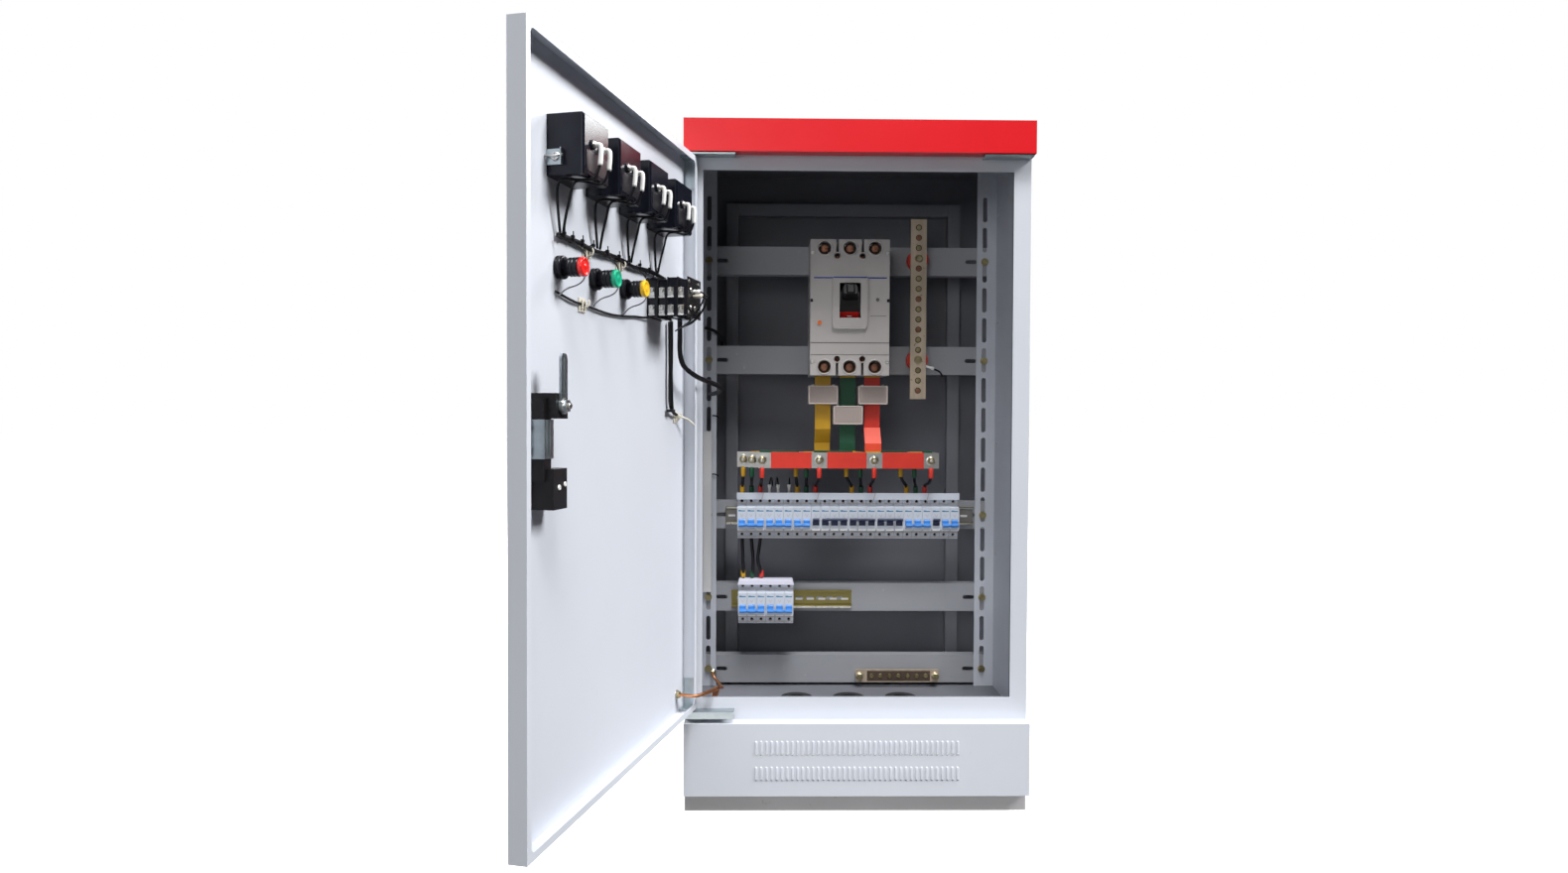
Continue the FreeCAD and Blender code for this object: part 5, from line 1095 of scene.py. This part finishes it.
class SWITCHBOARD_OT_lamp_fittings(bpy.types.Operator):
    """Ribbed barrels and coloured end caps behind the signal lamps, lenses before them."""
    bl_idname = "switchboard.lamp_fittings"
    bl_label = "Signal lamps"

    def execute(self, context):
        form = Form(door_place)
        dome = chosen("fittings").lens_height / MM
        for u, coat in LAMPS:
            form.turned((u, DOOR_FACE, LAMP_Z), INTO_CABINET, [(0.1, 14.8), (2, 14.8), (2, 14.3), (4, 14.3), (4, 14.8),
                                                               (7, 14.8), (8.8, 13.9), (8.8, 11.1)], "lamp_shell", 32)
            form.turned((u, DOOR_FACE, LAMP_Z), INTO_CABINET, [(8, 11.15), (16, 11.15), (16.5, 11.9), (18, 11.9),
                                                               (18.5, 11.3), (20.5, 11.3), (21, 11.9), (22.5, 11.9),
                                                               (23, 11.3), (25, 11.3), (25.5, 12.0), (30.4, 12.0),
                                                               (30.4, 11.0)], "lamp_shell", 32)
            form.turned((u, DOOR_FACE, LAMP_Z), INTO_CABINET, [(30.4, 11.0), (30.4, 12.1), (35.4, 12.1), (36.3, 11.6),
                                                               (36.7, 10.6), (36.7, 9.2), (36.2, 8.8), (36.2, 3.0),
                                                               (36.7, 2.6), (36.7, 0)], coat, 32)
            form.tube([(u, 24, LAMP_Z + 7), (u + 1, 27, LAMP_Z + 13), (u + 2, 20, LAMP_Z + 24),
                       (u + 8, 6, LAMP_Z + 32), (u + 16, -4, BUNDLE_Z - 3)], 1.1, "wire_black", 8)
            form.tube([(u, 24, LAMP_Z - 7), (u + 1, 27, LAMP_Z - 12), (u, 18, LAMP_Z - 22),
                       (u + 3, -2, LAMP_Z - 27), (u + 8, -6.5, LAMP_LEAD_Z - 4)], 1.0, "wire_grey", 8)
            lens = [(0, 14.6), (1.6, 14.6), (2.0, 13.4), (4.6, 13.2)]
            lens += [(4.6 + dome * math.sin(math.radians(a)), 13.2 * math.cos(math.radians(a))) for a in range(12, 90, 13)]
            form.turned((u, -12.0, LAMP_Z), (0, -1, 0), [(p[0] + 0.1, p[1]) for p in lens] + [(4.7 + dome, 0)], coat, 32)
            form.turned((u, -12.0, LAMP_Z), (0, -1, 0), [(0.1, 16.0), (2.4, 15.8), (2.6, 14.7), (0.2, 14.6)],
                        "screw_steel", 32)
        form.piece("lamp_fittings", "door", "lamp_shell")
        return {"FINISHED"}


class SWITCHBOARD_OT_switch_fittings(bpy.types.Operator):
    """Terminal screws and plates on the rotary switch, its legend plate and pointer."""
    bl_idname = "switchboard.switch_fittings"
    bl_label = "Rotary switch"

    def execute(self, context):
        form = Form(door_place)
        for level, z in enumerate((LAMP_Z + 10, LAMP_Z - 17)):
            for i in range(4):
                v = -3.0 + i * 15.5
                u = SWITCH_U + 30.0 - (3.0 if i % 2 else 0)
                form.block((u - 1.0, v - 4.6, z - 7.5), (u + 1.6, v + 4.6, z + 5.0), "screw_steel", 0.4)
                form.cross_screw((u + 1.6, v, z + 1.5), (1, 0, 0), 3.9, 2.6, "screw_steel")
                form.block((u - 0.5, v - 4.8, z - 11), (u + 2.6, v + 4.8, z - 8.0), "ferrule_white", 0.6)
            for i in range(3):
                u = SWITCH_U - 18 + i * 18
                form.block((u - 4.6, 54.0, z - 7.5), (u + 4.6, 55.8, z + 5.0), "screw_steel", 0.4)
                form.cross_screw((u, 55.8, z + 1.5), INTO_CABINET, 3.9, 2.4, "screw_steel")
        for du, dz, coat in ((14, 9, "ferrule_white"), (-4, 7, "tie_white"), (4, 3, "tie_white")):
            form.turned((SWITCH_U + du, 55.5, LAMP_Z + dz), INTO_CABINET, [(0, 2.6), (9, 2.6), (11, 3.4), (14, 3.4),
                                                                           (14.5, 2.4), (14.5, 0)], coat, 14)
            form.tube([(SWITCH_U + du, 68, LAMP_Z + dz), (SWITCH_U + du, 74, LAMP_Z + dz - 1),
                       (SWITCH_U + du - 2, 77, LAMP_Z + dz - 6), (SWITCH_U + du - 6, 70, LAMP_Z + dz - 20),
                       (SWITCH_U + du - 12, 50, LAMP_Z - 36), (SWITCH_U - 40, 20, LAMP_Z - 40),
                       (SWITCH_U - 58, 4, LAMP_Z - 44)], 1.3, "wire_black", 8)
        for i in range(5):
            v = -10.0 + i * 16.25
            form.block((SWITCH_U - 31, v - 0.5, LAMP_Z - 31), (SWITCH_U + 31, v + 1.0, LAMP_Z + 31), "lever_black", 0.5)
        for du, dz in ((-24, -24), (24, -24), (-24, 24), (24, 24)):
            form.turned((SWITCH_U + du, 54.2, LAMP_Z + dz), INTO_CABINET, [(0, 3.4), (2.2, 3.4), (2.2, 0)],
                        "screw_steel", 6, False)
        form.turned((SWITCH_U, -16.0, LAMP_Z), (0, -1, 0), [(0.05, 29), (0.9, 28.4), (0.9, 20.2), (0.1, 20.1)],
                    "dial_white", 40)
        for k in range(3):
            a = math.radians(135 - 45 * k)
            c, s = math.cos(a), math.sin(a)
            form.outline([(SWITCH_U + r * c - w * s, LAMP_Z + r * s + w * c)
                          for r, w in ((22, 0.8), (27, 0.8), (27, -0.8), (22, -0.8))], 1, -17.1, -16.6,
                         "instrument_black")
        form.piece("switch_fittings", "door", "instrument_black")
        knob = Form(door_place)
        ridges = chosen("fittings").knob_ridges
        for k in range(ridges):
            a = 2 * math.pi * k / ridges
            knob.turned((SWITCH_U + 18.6 * math.cos(a), -26.2, LAMP_Z + 18.6 * math.sin(a)), INTO_CABINET,
                        [(0, 0), (0.4, 1.5), (9.2, 1.7), (9.6, 0)], "instrument_black", 10)
        knob.block((SWITCH_U - 0.8, -40.5, LAMP_Z + 4), (SWITCH_U + 0.8, -40.0, LAMP_Z + 17), "ferrule_white", 0.2)
        knob.piece("knob_trim", "selector_knob", "instrument_black")
        return {"FINISHED"}


class SWITCHBOARD_OT_lock_fittings(bpy.types.Operator):
    """Screws, red band and marks on the lock, and the bolt and rib of its cam."""
    bl_idname = "switchboard.lock_fittings"
    bl_label = "Door lock"

    def execute(self, context):
        form = Form(door_place)
        neck = LOCK_U + 13
        top = LOCK_Z - 16
        for z in (top - 9, top - 37):
            form.cross_screw((neck - 17, DOOR_FACE + 4.4, z), INTO_CABINET, 4.0, 2.4, "screw_steel")
        form.block((neck - 21, DOOR_FACE + 2.0, top - 32), (neck - 12.6, DOOR_FACE + 3.4, top - 14), "band_red", 0.4)
        form.block((neck - 3.2, 11.4, top - 45), (neck - 1.8, 12.6, top - 1), "zinc", 0.4)
        form.block((neck + 5.0, 11.4, top - 45), (neck + 6.4, 12.6, top - 1), "zinc", 0.4)
        form.cross_screw((LOCK_U + 4, 19.6, LOCK_Z - 98 + 2), INTO_CABINET, 3.4, 1.4, "ferrule_white")
        form.cross_screw((LOCK_U - 11, 19.6, LOCK_Z - 98 + 5), INTO_CABINET, 3.0, 1.4, "ferrule_white")
        form.block((LOCK_U - 12, DOOR_FACE + 0.1, LOCK_Z - 77), (LOCK_U + 4, DOOR_FACE + 22, LOCK_Z - 73.6),
                   "lever_black", 0.8)
        form.piece("lock_fittings", "door", "lever_black")
        cam = Form(door_place)
        cam.turned((LOCK_U, 24.8, LOCK_Z), INTO_CABINET, [(0, 9.0), (1.6, 9.0), (1.8, 8.6), (1.8, 0)], "screw_steel")
        cam.turned((LOCK_U, 29.8, LOCK_Z), INTO_CABINET, [(-0.1, 8.0), (0.5, 7.2), (0.5, 0)], "screw_steel", 6, False)
        cam.turned((LOCK_U, 29.9, LOCK_Z), INTO_CABINET, [(0, 3.6), (3.0, 3.6), (3.6, 2.8), (3.6, 0)], "screw_steel", 16)
        cam.outline([(LOCK_U - 1.6, LOCK_Z + 14), (LOCK_U + 1.6, LOCK_Z + 14), (LOCK_U + 0.6, LOCK_Z + 56),
                     (LOCK_U - 0.6, LOCK_Z + 56)], 1, 24.6, 25.7, "zinc", 0.3)
        cam.piece("cam_fittings", "lock_spindle", "zinc")
        return {"FINISHED"}


class SWITCHBOARD_OT_door_wiring(bpy.types.Operator):
    """The bundle and leads on the door, their ties and the stuck-on tie mounts."""
    bl_idname = "switchboard.door_wiring"
    bl_label = "Door bundle"

    def execute(self, context):
        form = Form(door_place)
        strands = chosen("wiring").strands
        for k in range(strands):
            a = 2 * math.pi * k / strands
            route = []
            for i in range(14):
                u = 480.0 - 370.0 * i / 13
                swirl = a + i * 0.9
                r = 2.2 if k else 0.3
                dip = 1.8 * math.sin(i * 1.3)
                route.append((u, -4.6 + r * math.cos(swirl), BUNDLE_Z + dip + r * math.sin(swirl)))
            form.tube(route, chosen("wiring").strand / MM, "wire_black", 8, 5)
        for u in (470, 446, 418, 385, 340, 300, 262, 222, 182, 150):
            form.turned((u - 1.2, -4.6, BUNDLE_Z), (1, 0, 0), [(0, 3.4), (0, 4.3), (2.4, 4.3), (2.4, 3.4), (0, 3.4)],
                        "wire_black", 18)
            form.block((u - 2.2, -4.0, BUNDLE_Z + 2), (u + 2.2, 0.5, BUNDLE_Z + 6.0), "wire_black", 0.8)
            form.block((u - 0.9, -1.6, BUNDLE_Z + 5), (u + 0.9, -0.4, BUNDLE_Z + 11.0), "wire_black", 0.4)
        form.tube([(480, -8.0, LAMP_LEAD_Z + 2), (440, -6.5, LAMP_LEAD_Z - 5), (405, -8.0, LAMP_LEAD_Z - 5),
                   (360, -6.5, LAMP_LEAD_Z - 8), (310, -8.0, LAMP_LEAD_Z - 9), (262, -6.5, LAMP_LEAD_Z - 6),
                   (226, -8.0, LAMP_LEAD_Z - 2), (190, -7.0, LAMP_LEAD_Z - 1), (168, 0.0, LAMP_LEAD_Z + 4)], 1.7,
                  "wire_black", 10)
        for u, z in ((392, BUNDLE_Z - 8), (284, BUNDLE_Z - 8), (404, LAMP_LEAD_Z - 6), (44, 690)):
            form.block((u - 9.5, DOOR_FACE + 0.05, z - 9.5), (u + 9.5, DOOR_FACE + 2.2, z + 9.5), "tie_white", 1.0)
            for side in (-1, 1):
                form.block((u + side * 5 - 1.6, DOOR_FACE + 2.0, z - 6), (u + side * 5 + 1.6, DOOR_FACE + 5.6, z + 6),
                           "tie_white", 1.0)
            form.tube([(u, DOOR_FACE + 4, z - 4), (u, DOOR_FACE + 9, z - 3), (u - 2, DOOR_FACE + 12, z + 3),
                       (u - 3, DOOR_FACE + 9, z + 7)], 1.2, "tie_white", 8)
        for k in range(4):
            a = math.pi / 2 * k
            form.tube([(86 + 2.4 * math.cos(a), -3 + 2.4 * math.sin(a), 846), (85 + 2.4 * math.cos(a + 0.6), -3 + 2.4
                       * math.sin(a + 0.6), 800), (86 + 2.4 * math.cos(a + 1.4), -3 + 2.4 * math.sin(a + 1.4), 745),
                       (84 + 2.4 * math.cos(a + 2), -3 + 2.4 * math.sin(a + 2), 708), (70, -4, 694 + k), (52, -4, 694)],
                      2.1, "wire_black", 8)
        form.block((76, -8, 698), (92, 2, 703), "wire_black", 1.0)
        form.tube([(52, -4, 694), (40, 0, 690), (24, 8, 686), (10, 12, 676)], 1.7, "tie_white", 8)
        piece = form.piece("door_wiring", "door", "wire_black")
        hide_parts("door_loom")
        return {"FINISHED"}


def crossing_points():
    """Way of the loom from the door to the left rail, in metres."""
    rail_x = -298.5 + 38.5 / 2 + 2.0
    door_side = [(62.0, 3.0, 903.0), (60.0, 5.0, 843.0), (62.0, 3.0, 781.0), (50.0, 27.0, 757.0)]
    row_side = [(rail_x + 38.0, -125.0, 745.0), (rail_x + 30.0, -65.0, 737.0), (rail_x + 14.0, -5.0, 735.0),
                (rail_x + 4.0, 40.0, 736.0), (rail_x + 4.0, 61.0, 736.0)]
    return [door_place(*p) for p in door_side] + [row_place(*p) for p in row_side]


class SWITCHBOARD_OT_crossing_loom(bpy.types.Operator):
    """The loom between the door and the cabinet, laid for the open door."""
    bl_idname = "switchboard.crossing_loom"
    bl_label = "Loom to the cabinet"

    def execute(self, context):
        points = smooth_line(crossing_points(), 12)
        form = Form(lambda x, y, z: Vector((x, y, z)))
        part_count = 5
        for k in range(part_count):
            line = []
            for i, point in enumerate(points):
                a = 2 * math.pi * k / part_count + i * 0.09
                ahead = (points[min(i + 1, len(points) - 1)] - points[max(i - 1, 0)]).normalized()
                side = ahead.orthogonal().normalized()
                up = ahead.cross(side)
                line.append(point + (side * math.cos(a) + up * math.sin(a)) * 0.0024)
            form.swept(line, round_section(chosen("wiring").crossing, 10), "wire_black")
        piece = form.piece("crossing_loom", None, "wire_black")
        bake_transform(piece)
        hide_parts("door_loom_crossing")
        return {"FINISHED"}


def braid_points():
    strap_x = -270.0
    door_side = [(34.0, -10.0, 218.0), (34.0, 5.5, 218.0), (24.0, 23.5, 214.0)]
    row_side = [(strap_x + 18.0, -189.0, 213.0), (strap_x + 26.0, -159.0, 209.0), (strap_x + 24.0, -125.0, 202.0),
                (strap_x + 16.0, -97.0, 174.0), (strap_x + 16.0, -97.0, 151.0)]
    return [door_place(*p) for p in door_side] + [row_place(*p) for p in row_side]


class SWITCHBOARD_OT_earth_strap(bpy.types.Operator):
    """The woven copper strap between the door and the floor, laid for the open door."""
    bl_idname = "switchboard.earth_strap"
    bl_label = "Earth strap"

    def execute(self, context):
        points = smooth_line(braid_points(), 10)
        form = Form(lambda x, y, z: Vector((x, y, z)))
        width, thick, strands = 0.0052, 0.0011, 10
        for k in range(strands):
            for lean in (1, -1):
                line = []
                for i, point in enumerate(points):
                    ahead = (points[min(i + 1, len(points) - 1)] - points[max(i - 1, 0)]).normalized()
                    side = ahead.cross(Vector((0, 0, 1)))
                    side = side.normalized() if side.length > 0.2 else Vector((1, 0, 0))
                    up = ahead.cross(side)
                    a = 2 * math.pi * k / strands + lean * i * 0.42
                    line.append(point + side * width * math.cos(a) + up * thick * (math.sin(a) + 0.35 * lean
                                                                                   * math.cos(3 * a)))
                form.swept(line, round_section(chosen("wiring").braid, 6), "braid_copper")
        piece = form.piece("earth_strap", None, "braid_copper")
        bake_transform(piece)
        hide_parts("earth_braid")
        return {"FINISHED"}


class SWITCHBOARD_OT_side_fittings(bpy.types.Operator):
    """Rivets on the right rail's flange, lips of the mounting rails with painted shadow in the first row's rail ends,
    painted highlights on the lower lips and painted light in the slots, and the door's earth stud.
    """
    bl_idname = "switchboard.side_fittings"
    bl_label = "Rail fittings"

    def execute(self, context):
        form = Form()
        lips = Form()
        for x0, x1, z in ((-240, -217.5, 493.0), (217.5, 255, 493.0), (-106, 11, 325.0)):
            if z > 400:
                # Painted shadow: a dark grey block fills the channel of the first row's rail ends.
                lips.block((x0, 57.4, z - 13), (x1, 63.4, z + 14.4), "seam_and_shadow_grey", 0.3)
            # Painted highlight: the lower lip takes bright screw steel in place of the rail's own finish.
            lips.block((x0, 56.0, z - 17.2), (x1, 57.2, z - 13.2), "screw_steel", 0.3)
            lips.block((x0, 56.0, z + 14.6), (x1, 57.0, z + 17.2), "din_steel" if x1 < 200 and x0 > -200 else "zinc", 0.3)
            count = int((x1 - x0) / 22)
            for i in range(count):
                x = (x0 + x1) / 2 + (i - (count - 1) / 2) * 23.0
                # Painted light: white blocks in the rail slots stand in for the light seen through them.
                lips.block((x - 7, 57.0 if z > 400 else 61.6, z - 1.5), (x + 7, 63.0, z + 2.5), "strip_white", 0.4)
        lips.piece("din_rail_lips_and_painted_light", "cabinet", "din_steel")
        for z in (1090.0, 880.0, 640.0, 420.0):
            form.turned((296.8, 40.0, z), (-1, 0, 0), [(0, 4.2), (1.4, 3.6), (2.0, 2.2), (2.1, 0)], "screw_steel", 20)
        form.piece("rail_rivets", "cabinet", "zinc")
        studs = Form(door_place)
        studs.turned((34, DOOR_FACE, 218), INTO_CABINET, [(0, 8), (1.6, 8), (1.6, 0)], "screw_steel")
        studs.turned((34, DOOR_FACE + 1.6, 218), INTO_CABINET, [(0, 6.2), (4.6, 6.2), (5.2, 5.4), (5.2, 0)],
                     "yellow_zinc", 6, False)
        studs.piece("earth_stud", "door", "zinc")
        return {"FINISHED"}


# ---- stage ---------------------------------------------------------------------------------
def area_light(name, at, aim, size, watts, colour=(1, 1, 1)):
    data = bpy.data.lights.new(name, "AREA")
    data.shape = "RECTANGLE"
    data.size, data.size_y = size
    data.energy = watts
    data.color = colour
    obj = bpy.data.objects.new(name, data)
    obj.location = at
    obj.rotation_euler = (Vector(aim) - Vector(at)).to_track_quat("-Z", "Y").to_euler()
    obj.visible_camera = False
    bpy.context.scene.collection.objects.link(obj)
    return obj


def spare(light, *names):
    """Keeps a strong light off the parts that it would wash out."""
    spared = bpy.data.collections.new(light.name + "_spared")
    for name in names:
        spared.objects.link(NODES[name])
    for entry in spared.collection_objects:
        entry.light_linking.link_state = "EXCLUDE"
    light.light_linking.receiver_collection = spared


class SWITCHBOARD_OT_stage(bpy.types.Operator):
    """Pale floor, soft lights and the camera."""
    bl_idname = "switchboard.stage"
    bl_label = "Floor, lights and camera"

    def execute(self, context):
        scene = bpy.context.scene
        studio = chosen("studio")
        scene.view_settings.view_transform = "Standard"
        world = bpy.data.worlds.new("studio")
        scene.world = world
        world.use_nodes = True
        nodes, links = world.node_tree.nodes, world.node_tree.links
        fill = nodes["Background"]
        fill.inputs["Color"].default_value = (0.86, 0.90, 1.0, 1.0)
        fill.inputs["Strength"].default_value = studio.sky
        seen = add(nodes, "ShaderNodeBackground")
        seen.inputs["Color"].default_value = (1, 1, 1, 1)
        seen.inputs["Strength"].default_value = 1.0
        ray = add(nodes, "ShaderNodeLightPath")
        mix = add(nodes, "ShaderNodeMixShader")
        links.new(ray.outputs["Is Camera Ray"], mix.inputs["Fac"])
        links.new(fill.outputs[0], mix.inputs[1])
        links.new(seen.outputs[0], mix.inputs[2])
        links.new(mix.outputs[0], nodes["World Output"].inputs["Surface"])

        material, nodes, links, shader = new_coat("floor_pale")
        noise = spread(nodes, links, 3.0)
        tint = ramp(nodes, links, noise.outputs["Fac"], [(0.3, (0.86, 0.86, 0.86)), (0.7, (0.9, 0.9, 0.9))])
        links.new(tint.outputs["Color"], shader.inputs["Base Color"])
        shader.inputs["Roughness"].default_value = 0.9
        shader.inputs["Specular IOR Level"].default_value = 0.0
        shader.inputs["Emission Color"].default_value = (1, 1, 1, 1)
        shader.inputs["Emission Strength"].default_value = 1.0
        mesh = bpy.data.meshes.new("studio_floor")
        mesh.from_pydata([(-30, -30, 0), (30, -30, 0), (30, 30, 0), (-30, 30, 0)], [], [(0, 1, 2, 3)])
        mesh.materials.append(material)
        floor = bpy.data.objects.new("studio_floor", mesh)
        floor.location.z = -0.0005
        floor.visible_diffuse = False
        floor.visible_glossy = False
        scene.collection.objects.link(floor)

        area_light("key_above_front", (0.4, -4.2, 6.3), (0, -0.1, 0.65), (2.6, 2.9), studio.key)
        steep_key = area_light("key_steep", (0.3, -2.9, 6.6), (0, -0.1, 0.65), (2.0, 2.0), studio.steep)
        side_key = area_light("key_above_right", (3.4, -1.1, 3.9), (-0.3, -0.4, 0.6), (1.8, 1.8), studio.side)
        side_key.visible_glossy = False
        spare(side_key, "side_panel_right", "top_panel")
        spare(steep_key, "top_panel")
        area_light("front_left_fill", (-1.3, -4.2, 1.5), (0, -0.1, 0.65), (1.6, 1.6), studio.fill)
        area_light("floor_bounce", (0.2, -1.3, 0.03), (0.1, 0.1, 0.5), (2.0, 1.0), studio.bounce)
        area_light("skirt_bounce", (0, -0.62, 0.02), (0, -0.18, 0.03), (1.0, 0.04), 0.5)
        area_light("behind_left", (-2.6, 2.8, 3.2), (0, 0.1, 0.6), (2.0, 1.8), studio.back)
        area_light("behind_right", (2.8, 3.0, 3.4), (0, 0.1, 0.6), (2.0, 1.8), studio.back)

        data = bpy.data.cameras.new("view")
        data.lens = studio.lens
        data.sensor_width = 36.0
        camera = bpy.data.objects.new("view", data)
        turn = (Matrix.Rotation(math.radians(-0.810), 3, "Z")
                @ Matrix.Rotation(math.pi / 2 - math.radians(1.190), 3, "X")
                @ Matrix.Rotation(math.radians(0.239), 3, "Z"))
        camera.matrix_world = Matrix.Translation((-0.1516, -1.8277, 0.6912)) @ turn.to_4x4()
        scene.collection.objects.link(camera)
        scene.camera = camera
        return {"FINISHED"}


# ---- add-on --------------------------------------------------------------------------------
BUILDERS = (SWITCHBOARD_OT_finishes,
           SWITCHBOARD_OT_vent_louvres,
           SWITCHBOARD_OT_breaker_trim,
           SWITCHBOARD_OT_breaker_lever,
           SWITCHBOARD_OT_dropper_sleeves,
           SWITCHBOARD_OT_transformer_faces,
           SWITCHBOARD_OT_bar_sleeves,
           SWITCHBOARD_OT_bar_hardware,
           SWITCHBOARD_OT_pole_fittings,
           SWITCHBOARD_OT_feeder_leads,
           SWITCHBOARD_OT_meter_fittings,
           SWITCHBOARD_OT_meter_faces,
           SWITCHBOARD_OT_lamp_fittings,
           SWITCHBOARD_OT_switch_fittings,
           SWITCHBOARD_OT_lock_fittings,
           SWITCHBOARD_OT_door_wiring,
           SWITCHBOARD_OT_crossing_loom,
           SWITCHBOARD_OT_earth_strap,
           SWITCHBOARD_OT_side_fittings,
           SWITCHBOARD_OT_stage)


class SWITCHBOARD_PT_panel(bpy.types.Panel):
    """Lists the pieces and the settings they use."""
    bl_idname = "SWITCHBOARD_PT_panel"
    bl_label = "Switchboard cabinet"
    bl_space_type = "VIEW_3D"
    bl_region_type = "UI"
    bl_category = "Switchboard"

    def draw(self, context):
        for name, group in GROUPS.items():
            box = self.layout.box()
            for key in group.__annotations__:
                box.prop(chosen(name), key)
        column = self.layout.column(align=True)
        for builder in BUILDERS:
            column.operator(builder.bl_idname)


CLASSES = tuple(GROUPS.values()) + BUILDERS + (SWITCHBOARD_PT_panel,)


def register():
    for part in CLASSES:
        bpy.utils.register_class(part)
    for name, group in GROUPS.items():
        setattr(bpy.types.Scene, "switchboard_" + name, bpy.props.PointerProperty(type=group))


def unregister():
    for name in GROUPS:
        delattr(bpy.types.Scene, "switchboard_" + name)
    for part in reversed(CLASSES):
        bpy.utils.unregister_class(part)


def main():
    register()
    for builder in BUILDERS:
        family, name = builder.bl_idname.split(".")
        getattr(getattr(bpy.ops, family), name)()


if __name__ == "__main__":
    main()
